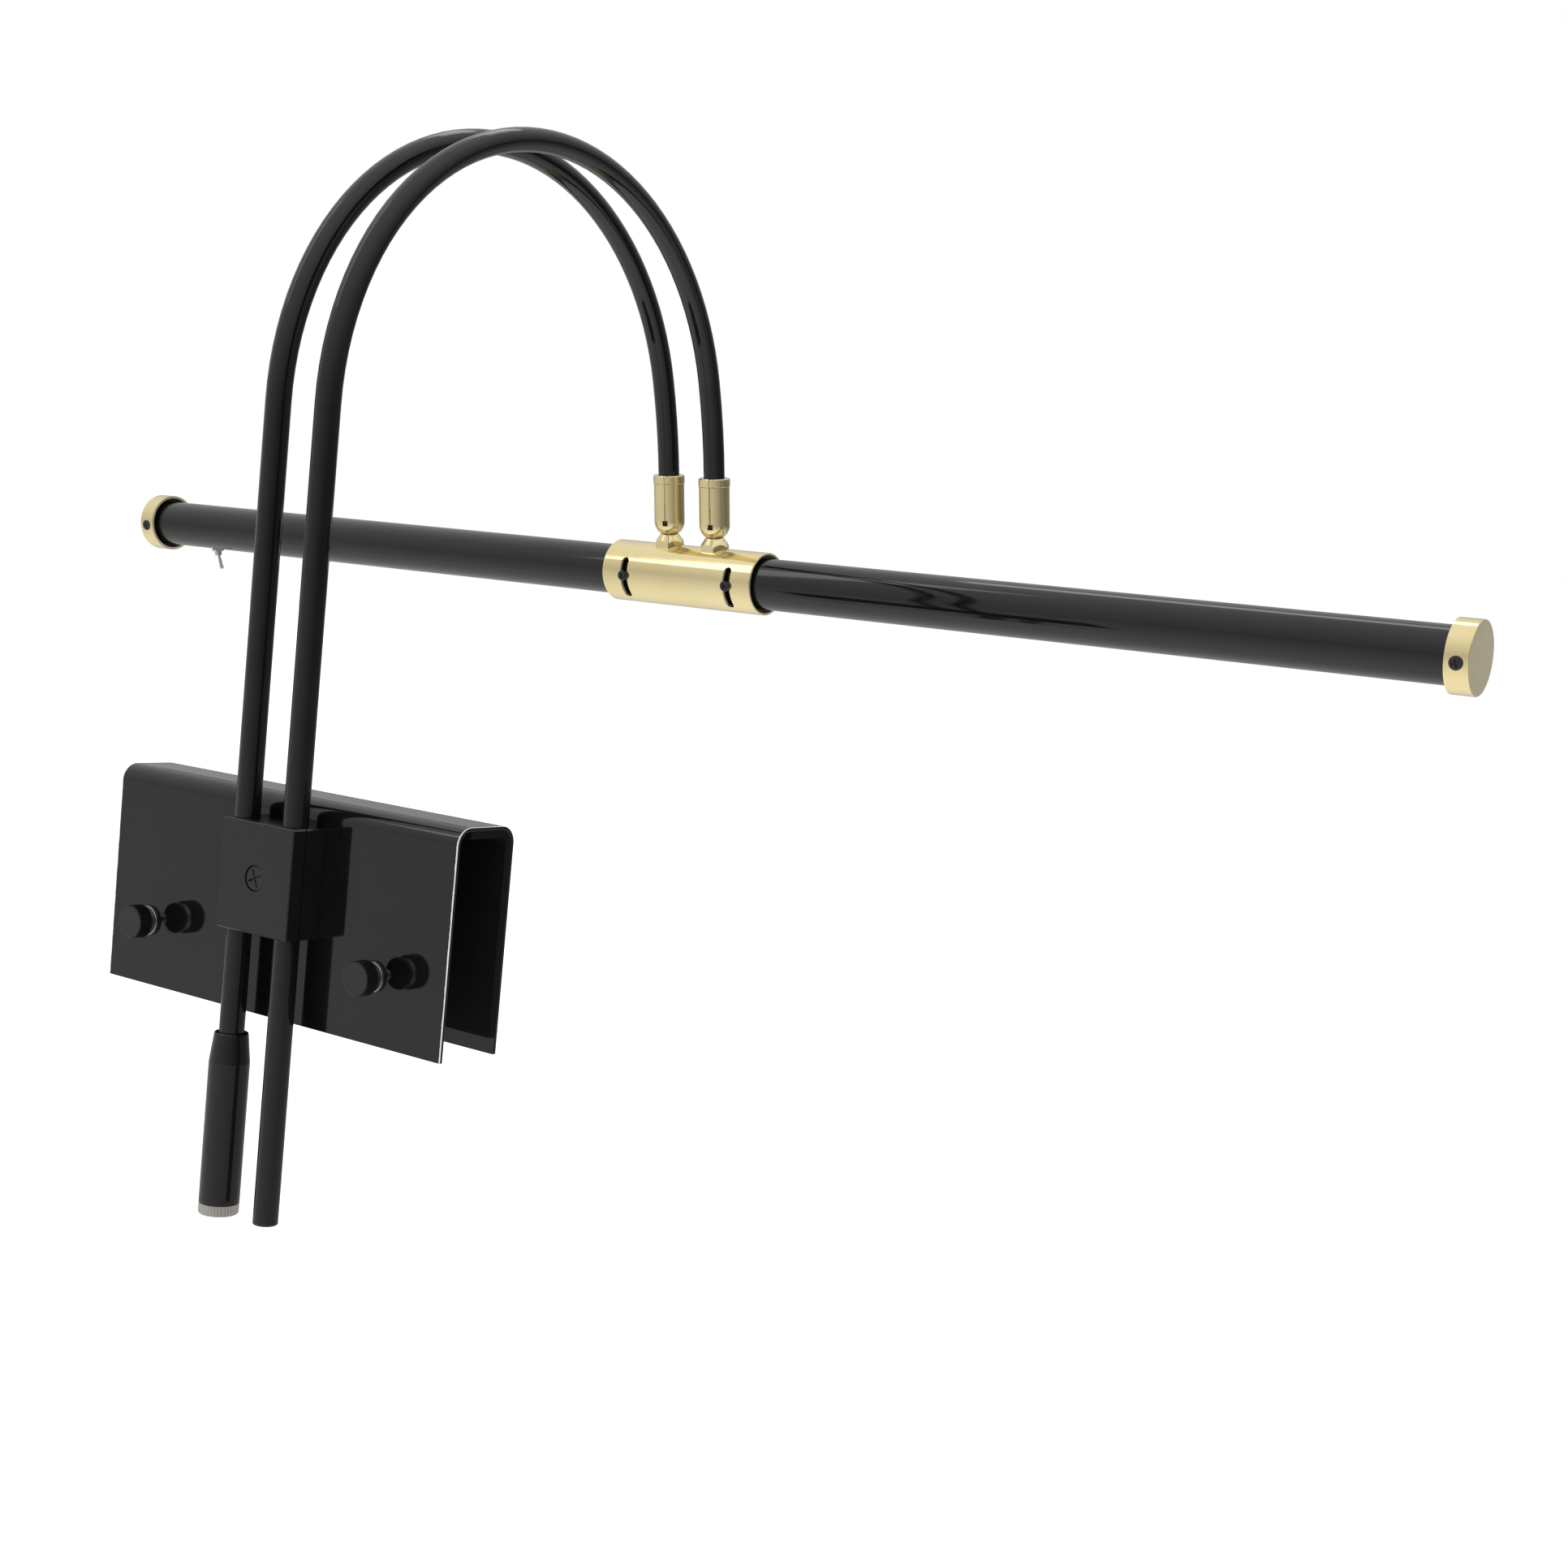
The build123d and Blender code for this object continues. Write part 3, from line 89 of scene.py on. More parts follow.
class Look(Nodes):
    """One material: a Principled shader and short calls that add nodes to it.

    Texture positions are the object's own, which are the row frame's in metres, so a
    texture's scale is in repeats per metre.
    """

    def __init__(self, name, color, **settings):
        self.material = LOOKS[name] = bpy.data.materials.new(name)
        self.material.use_nodes = True
        super().__init__(self.material.node_tree)
        self.shader = self.tree.nodes["Principled BSDF"]
        self.place = self.tree.nodes.new("ShaderNodeTexCoord").outputs["Object"]
        self.shader.inputs["Base Color"].default_value = (*color, 1.0)
        for key, value in settings.items():
            self.shader.inputs[key.replace("_", " ")].default_value = value

    def normal(self):
        return self.node("NewGeometry").outputs["Normal"]

    def stretched(self, scale, turn=(0.0, 0.0, 0.0)):
        """The object's position, turned and scaled, for grain that runs one way."""
        made = self.node("Mapping", {"Vector": self.place, "Scale": scale, "Rotation": turn})
        return made.outputs["Vector"]

    def noise(self, scale, detail=3.0, roughness=0.55, vector=None):
        inputs = {"Scale": scale, "Detail": detail, "Roughness": roughness}
        inputs["Vector"] = vector or self.place
        return self.node("TexNoise", inputs).outputs["Fac"]

    def map(self, value, low, high, from_low=0.3, from_high=0.7):
        """Stretches a value to run from low to high; noise mostly lies from 0.3 to 0.7."""
        inputs = {"Value": value, "To Min": low, "To Max": high}
        inputs.update({"From Min": from_low, "From Max": from_high})
        return self.node("MapRange", inputs).outputs["Result"]

    def blend(self, factor, a, b):
        """Mixes two colours, each a tuple or another node's output."""
        made = self.node("Mix", data_type="RGBA")
        # a Mix node has hidden sockets of the same names, so these are found by place
        sockets = {made.inputs[0]: factor, made.inputs[6]: a, made.inputs[7]: b}
        for socket, value in sockets.items():
            if isinstance(value, bpy.types.NodeSocket):
                self.tree.links.new(value, socket)
            else:
                socket.default_value = (*value, 1.0)
        return made.outputs[2]

    def mottled(self, scale, detail, a, b):
        """One colour with patches of another."""
        return self.blend(self.map(self.noise(scale, detail), 0.0, 1.0), a, b)

    def paint(self, socket, output):
        self.tree.links.new(output, self.shader.inputs[socket])

    def bump(self, height, strength, distance):
        """Adds relief of that height in metres; a second call adds to the first."""
        earlier = self.shader.inputs["Normal"].links
        inputs = {"Height": height, "Strength": strength, "Distance": distance}
        if earlier:
            inputs["Normal"] = earlier[0].from_socket
        self.paint("Normal", self.node("Bump", inputs).outputs["Normal"])


FLAT_FACING = 0.9               # least X in the normal of a face that looks along X
WITHOUT_X = (0.0, 1.0, 1.0)     # a vector times this has only its Y and Z
ORANGE_PEEL = 0.008 * MM


def lacquer(look, color, lighter, gloss, dull):
    """Gives a look orange peel, and returns its mottled colour and uneven gloss."""
    shade = look.mottled(60.0, 4.0, color, lighter)
    rough = look.map(look.noise(210.0, 5.0, 0.62), gloss, dull)
    look.bump(look.noise(900.0, 2.0), 0.25, ORANGE_PEEL)
    return shade, rough


def painted(name, color, lighter, gloss, dull):
    """Baked paint: faint mottling, uneven gloss and orange peel."""
    look = Look(name, color, Metallic=0.0)
    shade, rough = lacquer(look, color, lighter, gloss, dull)
    look.paint("Base Color", shade)
    look.paint("Roughness", rough)


def satin(name, color, lighter, gloss, dull, grain, depth):
    """Blasted, moulded or rubber surface with a fine grain of that depth."""
    look = Look(name, color, Metallic=0.0)
    fine = look.noise(grain, 4.0, 0.6)
    look.paint("Base Color", look.mottled(130.0, 3.0, color, lighter))
    look.paint("Roughness", look.map(fine, gloss, dull))
    look.bump(fine, 0.35, depth)


def metal(name, color, deeper, gloss, dull, grain, depth=0.004 * MM, lines=None, metallic=1.0):
    """Plated or bare metal; lines stretches the grain into brushing marks."""
    look = Look(name, color, Metallic=metallic)
    look.paint("Base Color", look.mottled(45.0, 5.0, color, deeper))
    fine = look.noise(grain, 4.0, 0.6, look.stretched(lines) if lines else None)
    smear = look.map(look.noise(170.0, 4.0, 0.6), 0.75, 1.25)
    look.paint("Roughness", look.math("MULTIPLY", smear, look.map(fine, gloss, dull)))
    look.bump(fine, 0.3, depth)


def turned_face(name, color, deeper, end_color, gloss, dull, axis_point, rings_per_metre):
    """Metal turned about an axis along X, with duller flat ends."""
    look = Look(name, color)
    flat_end = look.math(
        "GREATER_THAN", look.math("ABSOLUTE", look.part(look.normal(), "X")), FLAT_FACING
    )
    rim = look.mottled(60.0, 4.0, color, deeper)
    end = look.mottled(60.0, 4.0, end_color, tuple(0.93 * part for part in end_color))
    look.paint("Base Color", look.blend(flat_end, rim, end))
    look.paint("Metallic", look.math("SUBTRACT", 0.9, look.math("MULTIPLY", flat_end, 0.4)))
    from_axis = look.vector("SUBTRACT", look.place, axis_point)
    radius = look.length(look.vector("MULTIPLY", from_axis, WITHOUT_X))
    ring = look.math("MULTIPLY", radius, rings_per_metre)
    marks = look.noise(1.0, 3.0, 0.6, look.node("CombineXYZ", {"X": ring}).outputs["Vector"])
    rim_rough = look.map(look.noise(190.0, 4.0), gloss, dull)
    look.paint("Roughness", look.math("ADD", rim_rough, look.math("MULTIPLY", flat_end, 0.3)))
    look.bump(marks, 0.35, 0.006 * MM)


def painted_edge_highlight(name, color, lighter, gloss, dull, bare, edge_x, strip, middle):
    """Painted sheet with a painted highlight: a pale, duller strip on its outer corners along
    its cut ends.

    edge_x is how far the cut ends are from the origin, strip the width of the painted highlight,
    and middle a point inside the channel, which tells its outer faces from its inner ones.
    """
    look = Look(name, color, Metallic=0.0)
    normal = look.normal()
    outward = look.vector("MULTIPLY", look.vector("SUBTRACT", look.place, middle), WITHOUT_X)
    outer = look.math("GREATER_THAN", look.dot(outward, normal), 0.0)
    corner = look.math("LESS_THAN", look.math("ABSOLUTE", look.part(normal, "X")), FLAT_FACING)
    highlight_width = look.map(look.noise(420.0, 3.0), 0.75 * strip, 1.25 * strip)
    near_end = look.math(
        "GREATER_THAN",
        look.math("ABSOLUTE", look.part(look.place, "X")),
        look.math("SUBTRACT", edge_x, highlight_width),
    )
    # painted highlight: the pale strip on the outer corners near the cut ends stands in for
    # light caught along the channel's edge
    painted_highlight = look.math("MULTIPLY", look.math("MULTIPLY", near_end, outer), corner)
    shade, rough = lacquer(look, color, lighter, gloss, dull)
    look.paint("Base Color", look.blend(painted_highlight, shade, bare))
    look.paint("Roughness", look.math("ADD", rough, look.math("MULTIPLY", painted_highlight, 0.4)))


def grooved(name, color, bare, groove_middle, groove_half):
    """Blackened screw with bare metal in the groove behind its knurls."""
    look = Look(name, color)
    off = look.math("ABSOLUTE", look.math("SUBTRACT", look.part(look.place, "Y"), groove_middle))
    groove = look.math("LESS_THAN", off, groove_half)
    fine = look.noise(4300.0, 4.0, 0.6)
    black = look.mottled(130.0, 3.0, color, tuple(1.5 * part for part in color))
    look.paint("Base Color", look.blend(groove, black, bare))
    look.paint("Metallic", groove)
    look.paint("Roughness", look.map(fine, 0.20, 0.30))
    look.bump(fine, 0.3, 0.006 * MM)


def pressed_felt(name, color, lint_color):
    """Pressed felt: tangled fibres with a little lint."""
    look = Look(name, color, Roughness=0.95, Specular_IOR_Level=0.2)
    tangle = look.noise(1500.0, 6.0, 0.7)
    fibre_run = look.stretched(scale=(2600.0, 900.0, 5200.0), turn=(0.4, 0.2, 0.7))
    fibres = look.noise(1.0, 4.0, 0.65, fibre_run)
    lint = look.map(fibres, 0.0, 1.0, from_low=0.62, from_high=0.82)
    look.paint("Base Color", look.blend(look.math("MULTIPLY", lint, 0.4), color, lint_color))
    look.bump(tangle, 0.7, 0.25 * MM)
    look.bump(fibres, 0.5, 0.12 * MM)


def circuit_board(name, mask, track):
    """Printed circuit: solder mask, with copper tracks standing just proud under it."""
    look = Look(name, mask, Metallic=0.0, Coat_Weight=0.3, Coat_Roughness=0.15)
    layout = {"Vector": look.place, "Scale": 260.0, "Mortar Size": 0.06, "Mortar Smooth": 0.1}
    tracks = look.node("TexBrick", layout, offset=0.35).outputs["Fac"]
    look.paint("Base Color", look.blend(tracks, mask, track))
    look.paint("Roughness", look.map(look.noise(700.0), 0.28, 0.42))
    look.bump(tracks, 0.3, 0.03 * MM)


def opal(name, color, deeper):
    """Frosted opal plastic that lets the light source glow through a little."""
    look = Look(name, color, Subsurface_Weight=0.4, Subsurface_Scale=2.0 * MM, IOR=1.58)
    fine = look.noise(3800.0, 4.0, 0.6)
    look.paint("Roughness", look.map(fine, 0.42, 0.58))
    look.paint("Base Color", look.mottled(90.0, 3.0, color, deeper))
    look.bump(fine, 0.3, 0.02 * MM)


def phosphor(name, color, deeper):
    """Phosphor grains under clear resin."""
    look = Look(name, color, Coat_Weight=0.6, Coat_Roughness=0.08)
    grain = look.noise(5200.0, 4.0)
    look.paint("Base Color", look.blend(look.map(grain, 0.0, 1.0), color, deeper))
    look.paint("Roughness", look.map(grain, 0.30, 0.45))
    look.bump(grain, 0.3, 0.01 * MM)


def middle_of(node):
    low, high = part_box(node)
    return [(a + b) / 2 for a, b in zip(low, high)]


BLACK_PAINT = (0.0042, 0.0042, 0.0045)
BLACK_PAINT_LIGHT = (0.0062, 0.0062, 0.0065)
PAINT_GLOSS = 0.045
PAINT_DULL = 0.09
SCREW_BLACK = (0.008, 0.008, 0.0084)
BRASS = (0.86, 0.735, 0.41)
BRASS_DEEP = (0.82, 0.69, 0.37)
BRASS_END = (0.68, 0.62, 0.43)
NICKEL = (0.66, 0.63, 0.60)
GROOVE_MIDDLE = 5.95 * MM      # from the thumb screw's face
GROOVE_HALF = 0.95 * MM

painted("gloss_black", BLACK_PAINT, BLACK_PAINT_LIGHT, PAINT_GLOSS, PAINT_DULL)
painted(
    "housing_gloss", (0.006, 0.006, 0.0063), (0.0085, 0.0085, 0.009), gloss=0.05, dull=0.10
)
# the pale colour given as bare is a painted highlight along the channel's cut ends
painted_edge_highlight(
    "channel_black", BLACK_PAINT, BLACK_PAINT_LIGHT, PAINT_GLOSS, PAINT_DULL,
    bare=(0.78, 0.78, 0.77), edge_x=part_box("bracket_channel")[1][0], strip=0.42 * MM,
    middle=middle_of("bracket_channel"),
)
satin(
    "block_black", (0.006, 0.006, 0.0063), (0.009, 0.009, 0.0094),
    gloss=0.20, dull=0.30, grain=5200.0, depth=0.008 * MM,
)
satin(
    "screw_black", SCREW_BLACK, (0.012, 0.012, 0.0125),
    gloss=0.22, dull=0.32, grain=4300.0, depth=0.008 * MM,
)
satin(
    "pad_black", (0.026, 0.026, 0.027), (0.034, 0.034, 0.035),
    gloss=0.34, dull=0.46, grain=3600.0, depth=0.01 * MM,
)
satin(
    "rubber", (0.017, 0.017, 0.018), (0.024, 0.024, 0.025),
    gloss=0.62, dull=0.80, grain=2600.0, depth=0.04 * MM,
)
satin(
    "black_plastic", (0.014, 0.014, 0.015), (0.019, 0.019, 0.020),
    gloss=0.36, dull=0.50, grain=3100.0, depth=0.012 * MM,
)
satin(
    "lead_sheath", (0.026, 0.026, 0.027), (0.034, 0.034, 0.035),
    gloss=0.40, dull=0.55, grain=2200.0, depth=0.015 * MM,
)
grooved(
    "thumb_screw_black", SCREW_BLACK, NICKEL,
    groove_middle=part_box("left_thumb_screw")[0][1] + GROOVE_MIDDLE, groove_half=GROOVE_HALF,
)
metal(
    "polished_brass", BRASS, BRASS_DEEP,
    gloss=0.04, dull=0.09, grain=2600.0, depth=0.002 * MM, metallic=0.9,
)
turned_face(
    "turned_brass", BRASS, BRASS_DEEP, BRASS_END, gloss=0.09, dull=0.15,
    axis_point=middle_of("left_end_cap"), rings_per_metre=4200.0,
)
metal("nickel", NICKEL, (0.60, 0.57, 0.535), gloss=0.14, dull=0.24, grain=3000.0)
metal(
    "zinc_steel", (0.56, 0.56, 0.57), (0.47, 0.47, 0.48),
    gloss=0.22, dull=0.36, grain=2400.0,
)
metal(
    "carrier_alloy", (0.70, 0.71, 0.72), (0.63, 0.64, 0.65),
    gloss=0.22, dull=0.34, grain=1.0, depth=0.006 * MM, lines=(160.0, 4200.0, 4200.0),
)
pressed_felt("felt_black", (0.0032, 0.0032, 0.0036), lint_color=(0.018, 0.018, 0.019))
circuit_board("circuit_board", mask=(0.80, 0.82, 0.81), track=(0.70, 0.725, 0.71))
opal("opal_diffuser", (0.87, 0.875, 0.86), (0.81, 0.82, 0.80))
phosphor("led_phosphor", (0.88, 0.68, 0.17), (0.78, 0.55, 0.10))

DRESSED = {
    "gloss_black": ("left_arm", "right_arm", "tube_shell"),
    "channel_black": ("bracket_channel",),
    "block_black": ("block_base", "clamp_jaw"),
    "screw_black": ("clamp_screw", "cap_screws", "slot_screws"),
    "thumb_screw_black": ("left_thumb_screw", "right_thumb_screw"),
    "polished_brass": (
        "left_cup", "right_cup", "left_collar", "right_collar", "left_nipple",
        "right_nipple", "left_ball_stem", "right_ball_stem",
    ),
    "turned_brass": ("sleeve", "left_end_cap", "right_end_cap"),
    "nickel": (
        "connector_ring", "jack_pin", "jack_contact", "switch_bushing", "switch_nut",
        "switch_lever",
    ),
    "zinc_steel": ("clamp_nut", "base_screws", "thumb_nuts", "slot_nuts"),
    "pad_black": ("left_pad_plate", "right_pad_plate"),
    "carrier_alloy": ("left_carrier", "right_carrier"),
    "rubber": ("left_pad_facing", "right_pad_facing"),
    "black_plastic": (
        "arm_plug", "jack_insulator", "left_ball_seat", "right_ball_seat", "left_bush",
        "right_bush", "left_end_plug", "right_end_plug", "switch_body", "driver_parts",
    ),
    "housing_gloss": ("connector_housing",),
    "lead_sheath": ("arm_lead", "stem_lead", "tube_leads"),
    "felt_black": ("felt_lining",),
    "circuit_board": ("driver_board", "left_led_board", "right_led_board"),
    "opal_diffuser": ("left_diffuser", "right_diffuser"),
    "led_phosphor": ("leds",),
}
for look_name, dressed in DRESSED.items():
    for node_name in dressed:
        for slot in nodes[node_name].material_slots:
            slot.material = LOOKS[look_name]

# ---------------------------------------------------------------- finely cut pieces


def piece(name, body, replaced, look_name, mesh, sharp):
    """Makes an object of a mesh, rides it on its body and stands it in for a CAD node.

    Edges that turn by more than sharp degrees stay sharp.
    """
    obj = bpy.data.objects.new(name, mesh)
    bpy.context.scene.collection.objects.link(obj)
    mesh.materials.append(LOOKS[look_name])
    mesh.shade_smooth()
    mesh.set_sharp_from_angle(angle=math.radians(sharp))
    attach(obj, body)
    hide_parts(replaced)
    return obj


def lathe(bm, profile, matrix, segments, shape):
    """Turns (radius, height) points about matrix's Z into a closed skin.

    shape(radius, height, turn) gives the radius at one place, for knurls and threads.
    """
    rings = []
    for radius, height in profile:
        if radius == 0:
            rings.append([bm.verts.new(matrix @ Vector((0.0, 0.0, height)))])
            continue
        ring = []
        for i in range(segments):
            turn = i / segments
            r = shape(radius, height, turn)
            angle = 2 * math.pi * turn
            point = Vector((r * math.cos(angle), r * math.sin(angle), height))
            ring.append(bm.verts.new(matrix @ point))
        rings.append(ring)
    for low, high in zip(rings, rings[1:]):
        for i in range(segments):
            k = (i + 1) % segments
            if len(low) == 1:
                bm.faces.new((low[0], high[i], high[k]))
            elif len(high) == 1:
                bm.faces.new((low[i], high[0], low[k]))
            else:
                bm.faces.new((low[i], high[i], high[k], low[k]))


def finished(bm, name):
    """Turns a bmesh into a mesh with its faces looking outwards."""
    bmesh.ops.recalc_face_normals(bm, faces=bm.faces)
    mesh = bpy.data.meshes.new(name)
    bm.to_mesh(mesh)
    bm.free()
    return mesh


def wedge(value):
    """0 at whole numbers, 1 halfway between them."""
    return 1.0 - abs(2.0 * (value % 1.0) - 1.0)


KNURLS = 40
KNURL_DEPTH = 0.5 * MM
KNURL_END = 4.85 * MM          # from the head's face
STEPS_PER_KNURL = 6
HEAD_RADIUS = 5.4 * MM
SHANK_START = 8.5 * MM         # inside the head, so that head and shank join
THREAD_RADIUS = 1.75 * MM
THREAD_PITCH = 25.4 / 32 * MM
THREAD_DEPTH = 0.34 * MM
STEPS_PER_PITCH = 8
STEPS_PER_THREAD_TURN = 48


def threaded(top_radius, pitch, depth):
    """A radius rule that cuts a right-hand thread with narrow flat crests."""

    def rule(radius, height, turn):
        crest = wedge(height / pitch - turn)
        return min(radius, top_radius - depth * (1.0 - min(1.0, 1.35 * crest)))

    return rule


def knurled(top_radius, start, end):
    """A radius rule that cuts straight knurls between two heights."""

    def rule(radius, height, turn):
        if not start <= height <= end:
            return radius
        groove = max(0.0, 1.0 - 1.25 * wedge(turn * KNURLS))
        return min(radius, top_radius - KNURL_DEPTH * groove)

    return rule


def thumb_screw(side):
    """Knurled head with a groove behind the knurls and a plain flange, then a cut thread."""
    node = f"{side}_thumb_screw"
    low, high = (Vector(corner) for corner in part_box(node))
    centre = Vector(((low.x + high.x) / 2, low.y, (low.z + high.z) / 2))
    # heights run along +Y from the head's face
    matrix = Matrix.Translation(centre) @ Matrix.Rotation(math.radians(-90), 4, "X")
    length = high.y - low.y
    face = ((0, 0), (1.6, 0), (3.2, 0), (4.4, 0))
    knurled_rim = (
        (4.88, 0), (5.1, 0.02), (5.28, 0.1), (5.38, 0.24), (5.4, 0.45), (5.4, 2.0), (5.4, 3.6),
        (5.4, 4.5), (5.34, 4.7), (5.2, 4.84),
    )
    groove = (
        (4.9, 4.9), (4.6, 4.95), (4.52, 5.1), (4.5, 5.4), (4.5, 6.6), (4.52, 6.8), (4.62, 6.94),
    )
    flange = (
        (4.85, 7.02), (4.98, 7.16), (5.03, 7.4), (5.05, 7.7), (5.05, 8.2), (5.0, 8.5),
        (4.88, 8.74), (4.65, 8.88), (4.4, 8.9), (1.9, 8.9), (0, 8.9),
    )
    head = [(r * MM, h * MM) for r, h in face + knurled_rim + groove + flange]
    bm = bmesh.new()
    lathe(bm, head, matrix, KNURLS * STEPS_PER_KNURL, knurled(HEAD_RADIUS, 0.0, KNURL_END))
    core = THREAD_RADIUS - THREAD_DEPTH
    shank = [(0.0, SHANK_START), (core, SHANK_START)]
    steps = int((length - SHANK_START) / (THREAD_PITCH / STEPS_PER_PITCH))
    for i in range(1, steps):
        height = SHANK_START + (length - SHANK_START) * i / steps
        # the tip narrows at 45 degrees to the core
        shank.append((min(THREAD_RADIUS, core + (length - height)), height))
    shank += [(core, length), (0.0, length)]
    thread = threaded(THREAD_RADIUS, THREAD_PITCH, THREAD_DEPTH)
    lathe(bm, shank, matrix, STEPS_PER_THREAD_TURN, thread)
    mesh = finished(bm, node + "_knurled")
    piece(
        node + "_knurled", f"{side}_screw", node, "thumb_screw_black", mesh, 24.0
    )


for side in ("left", "right"):
    thumb_screw(side)


FELT_THICKNESS = 2.4 * MM
FELT_BEND = 4.3 * MM           # the lining's outer corner follows the channel's bend
FELT_STEP = 1.1 * MM
FELT_DIP = 0.2 * MM            # how far the uneven surface may lie under the CAD's


def felt_dip(x, y, z):
    """How deep the felt's uneven surface lies at a place: broad waves with fuzz on them."""
    place = Vector((x, y, z))
    wave = 0.11 * MM * (noise.noise(place * 620.0) + 0.5)
    fuzz = 0.05 * MM * noise.noise(place * 2100.0)
    return min(FELT_DIP, max(0.0, wave + fuzz))


def felt_lining():
    """Pressed felt under the channel's top and down its rear wall, with soft cut edges."""
    low, high = (Vector(corner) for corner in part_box("felt_lining"))
    thick, bend = FELT_THICKNESS, FELT_BEND
    inner_y = high.y - thick

    def run(start, end):
        """Evenly spaced points on a straight stretch, without its end."""
        count = max(1, round((end - start).length / FELT_STEP))
        return [start.lerp(end, i / count) for i in range(count)]

    section = run(Vector((low.y, high.z)), Vector((high.y - bend, high.z)))
    corner = Vector((high.y - bend, high.z - bend))
    for i in range(6):
        angle = math.radians(90 - 15 * i)
        section.append(corner + bend * Vector((math.cos(angle), math.sin(angle))))
    section += run(Vector((high.y, high.z - bend)), Vector((high.y, low.z)))
    section += run(Vector((high.y, low.z)), Vector((inner_y, low.z)))
    inner_bend = bend - thick
    inner_corner = Vector((inner_y - inner_bend, -inner_bend))
    section += run(Vector((inner_y, low.z)), Vector((inner_y, -inner_bend)))
    for i in range(4):
        angle = math.radians(22.5 * i)
        section.append(inner_corner + inner_bend * Vector((math.cos(angle), math.sin(angle))))
    section += run(Vector((inner_y - inner_bend, 0.0)), Vector((low.y, 0.0)))
    section += run(Vector((low.y, 0.0)), Vector((low.y, high.z)))

    columns = round((high.x - low.x) / FELT_STEP)
    bm = bmesh.new()
    rows = []
    for c in range(columns + 1):
        x = low.x + (high.x - low.x) * c / columns
        # which way the cut end's surface dips
        end_way = 1.0 if c == 0 else -1.0 if c == columns else 0.0
        row = []
        for y, z in section:
            # only the inner side and the cut ends are free; the glued side stays flat
            free = y < inner_y + 0.3 * thick and z < high.z - 0.7 * thick or end_way
            dip = felt_dip(x, y, z) if free else 0.0
            on_wall = y <= inner_y + 1e-6 and z < -inner_bend
            under_top = z > -inner_bend - 1e-6 and y < inner_y
            row.append(bm.verts.new((x + dip * end_way, y + dip * on_wall, z + dip * under_top)))
        rows.append(row)
    count = len(section)
    for first, second in zip(rows, rows[1:]):
        for i in range(count):
            k = (i + 1) % count
            bm.faces.new((first[i], first[k], second[k], second[i]))
    for row in (rows[0], rows[-1]):
        cap = bm.faces.new(row)
        bmesh.ops.triangulate(bm, faces=[cap])
    mesh = finished(bm, "felt_pile")
    return piece("felt_pile", "bracket", "felt_lining", "felt_black", mesh, 50.0)


lining = felt_lining()

# ---------------------------------------------------------------- stage, light and camera

FLOOR_Z = -0.30
FLOOR_HALF = 8.0
CAMERA_PLACE = (0.5194, -0.4979, 0.0861)
AZIMUTH, ELEVATION, ROLL = (math.radians(angle) for angle in (33.29, 6.04, 5.79))
RIGHTWARDS = Vector((math.cos(AZIMUTH), math.sin(AZIMUTH), 0.0))   # level, as the camera sees it


def floor():
    """Pale paper far below, which the polished parts don't mirror."""
    bm = bmesh.new()
    height = Matrix.Translation((0.0, 0.0, FLOOR_Z))
    bmesh.ops.create_grid(bm, x_segments=1, y_segments=1, size=FLOOR_HALF, matrix=height)
    obj = bpy.data.objects.new("studio_floor", finished(bm, "studio_floor"))
    bpy.context.scene.collection.objects.link(obj)
    paper = Look("floor_paper", (0.9, 0.9, 0.9), Roughness=0.9, Emission_Strength=0.6)
    paper.shader.inputs["Emission Color"].default_value = (1.0, 1.0, 1.0, 1.0)
    obj.data.materials.append(paper.material)
    obj.visible_glossy = False


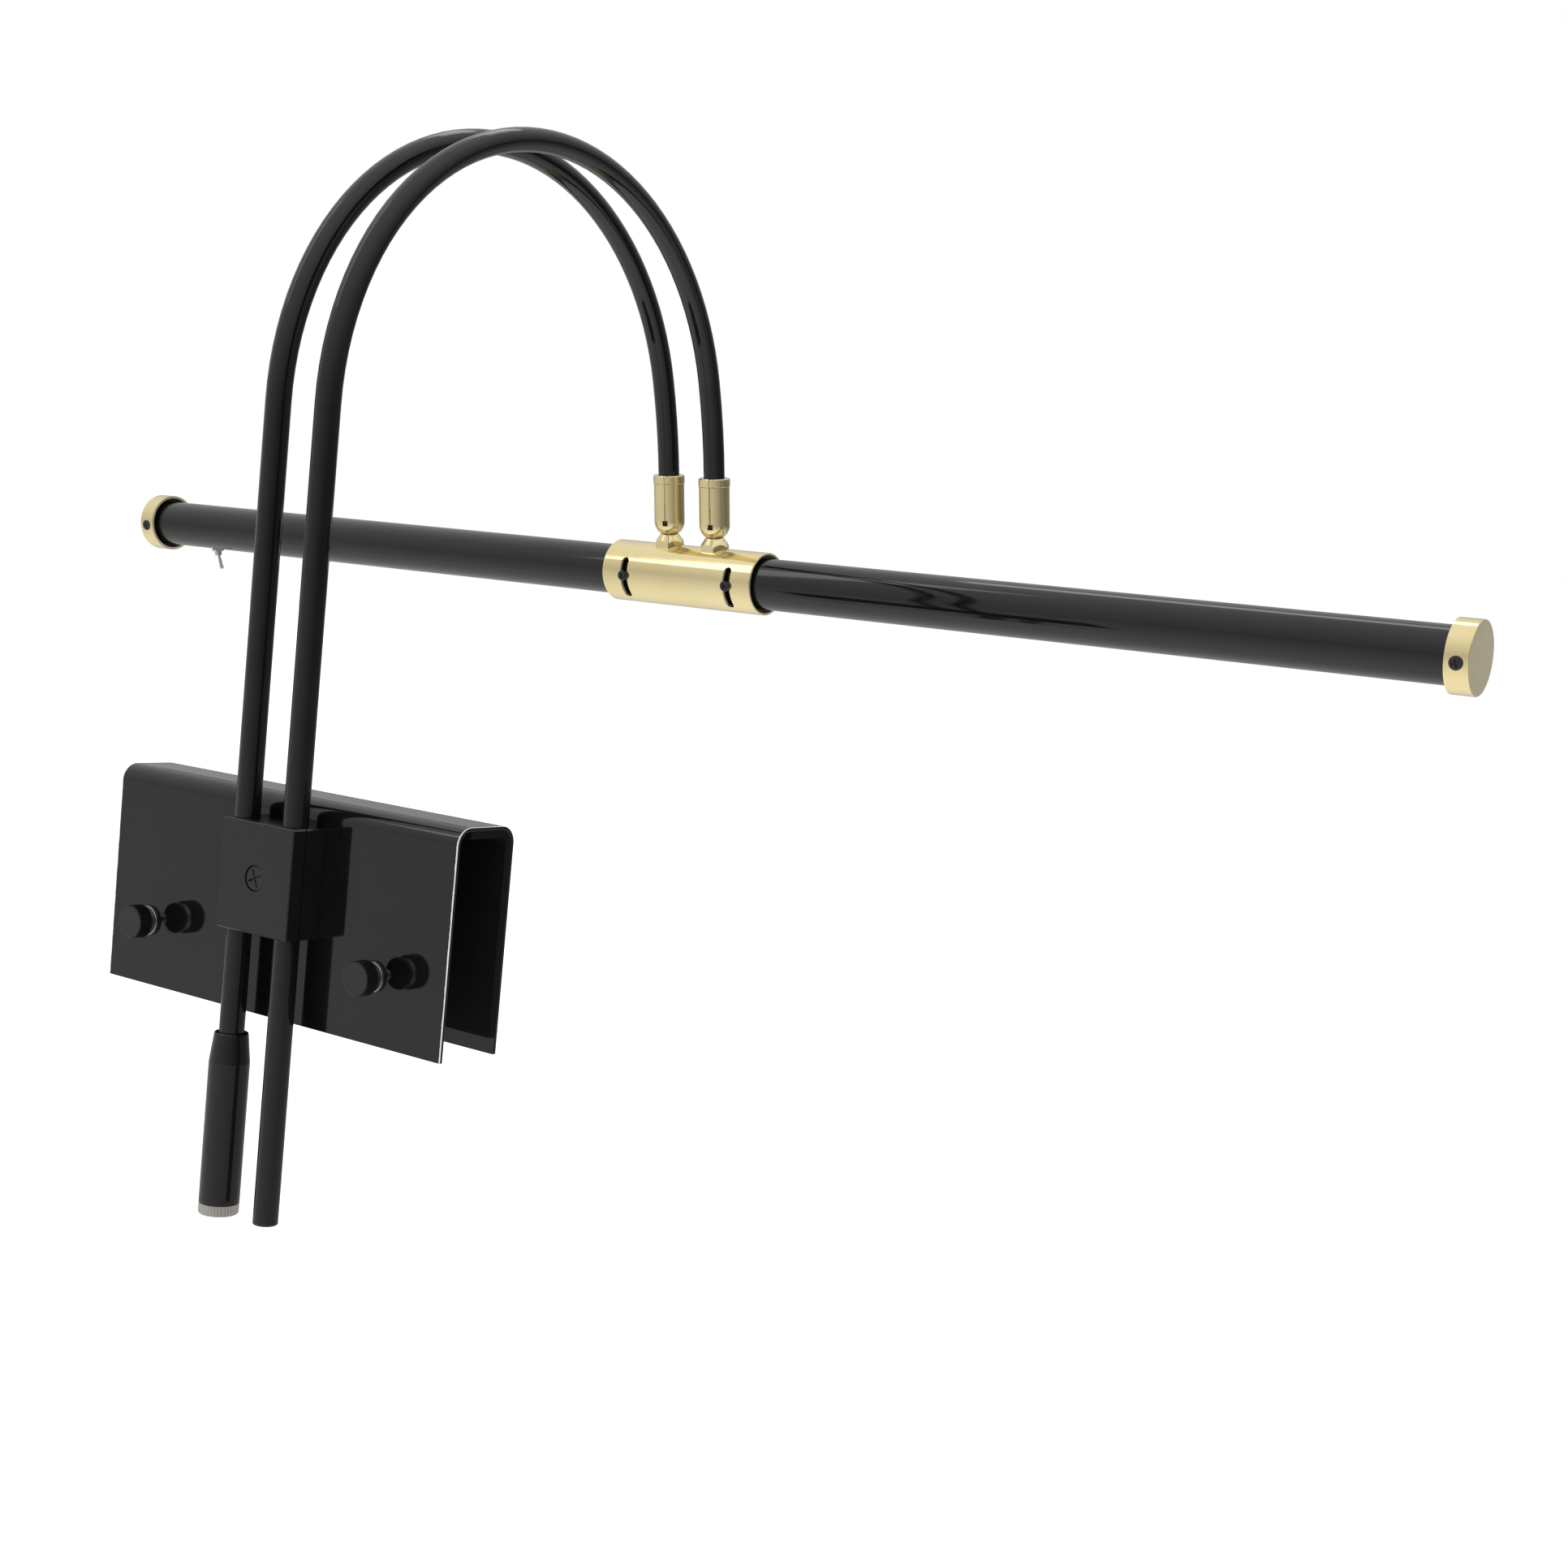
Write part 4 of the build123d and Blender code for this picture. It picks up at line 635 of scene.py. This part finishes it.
def studio_world(ahead, slope, least, rise):
    """White studio whose walls are darker towards the right and at eye level.

    ahead is the walls' brightness straight ahead at eye level, slope what they lose from
    there to the far right, least the darkest they get, and rise how fast they turn white
    with height. The backdrop itself is seen as white.
    """
    world = bpy.data.worlds.new("studio")
    world.use_nodes = True
    world.node_tree.nodes.clear()
    sky = Nodes(world.node_tree)
    direction = sky.node("TexCoord").outputs["Generated"]
    lost = sky.math("MULTIPLY", sky.dot(direction, RIGHTWARDS), slope)
    wall = sky.math("MAXIMUM", sky.math("SUBTRACT", ahead, lost), least)
    height = sky.math("ABSOLUTE", sky.part(direction, "Z"))
    whiteness = sky.math("MINIMUM", sky.math("MULTIPLY", height, rise), 1.0)
    gain = sky.math("MULTIPLY", whiteness, sky.math("SUBTRACT", 1.0, wall))
    white = (1.0, 1.0, 1.0, 1.0)
    room = sky.node("Background", {"Color": white, "Strength": sky.math("ADD", wall, gain)})
    backdrop = sky.node("Background", {"Color": white, "Strength": 1.0})
    seen = sky.node("LightPath").outputs["Is Camera Ray"]
    both = sky.node("MixShader", {0: seen, 1: room.outputs[0], 2: backdrop.outputs[0]})
    sky.node("OutputWorld", {"Surface": both.outputs[0]})
    return world


def softbox(name, place, target, along, size, brightness):
    """Area light of a given brightness, its first size along a direction."""
    data = bpy.data.lights.new(name, "AREA")
    data.shape = "RECTANGLE"
    data.size, data.size_y = size
    data.energy = brightness * math.pi * size[0] * size[1]
    obj = bpy.data.objects.new(name, data)
    bpy.context.scene.collection.objects.link(obj)
    back = (Vector(place) - Vector(target)).normalized()
    across = (Vector(along) - back * back.dot(Vector(along))).normalized()
    turn = Matrix((across, back.cross(across), back)).transposed().to_4x4()
    obj.matrix_world = Matrix.Translation(place) @ turn


def camera(lens, shift):
    data = bpy.data.cameras.new("camera")
    data.sensor_width = 36.0
    data.lens = lens
    data.shift_x, data.shift_y = shift
    data.clip_start = 0.01
    obj = bpy.data.objects.new("camera", data)
    bpy.context.scene.collection.objects.link(obj)
    ahead = Vector((
        -math.sin(AZIMUTH) * math.cos(ELEVATION),
        math.cos(AZIMUTH) * math.cos(ELEVATION),
        -math.sin(ELEVATION),
    ))
    upright = RIGHTWARDS.cross(ahead)
    right = RIGHTWARDS * math.cos(ROLL) + upright * math.sin(ROLL)
    turn = Matrix((right, right.cross(ahead), -ahead)).transposed().to_4x4()
    obj.matrix_world = Matrix.Translation(CAMERA_PLACE) @ turn
    return obj


floor()
bpy.context.scene.world = studio_world(ahead=0.30, slope=0.27, least=0.1, rise=1.15)
softbox(
    "front_strip", place=(-0.84, -0.56, 1.16), target=(0.05, 0.18, 0.08),
    along=(0.31, 0.63, 0.71), size=(0.9, 0.2), brightness=1.7,
)
softbox(
    "overhead_softbox", place=(-0.28, 0.75, 1.46), target=(0.27, 0.18, 0.08),
    along=(1.0, 0.0, 0.0), size=(0.8, 0.3), brightness=1.8,
)
bpy.context.scene.camera = camera(lens=51.02, shift=(-0.0195, 0.0218))
bpy.context.scene.view_settings.view_transform = "Standard"
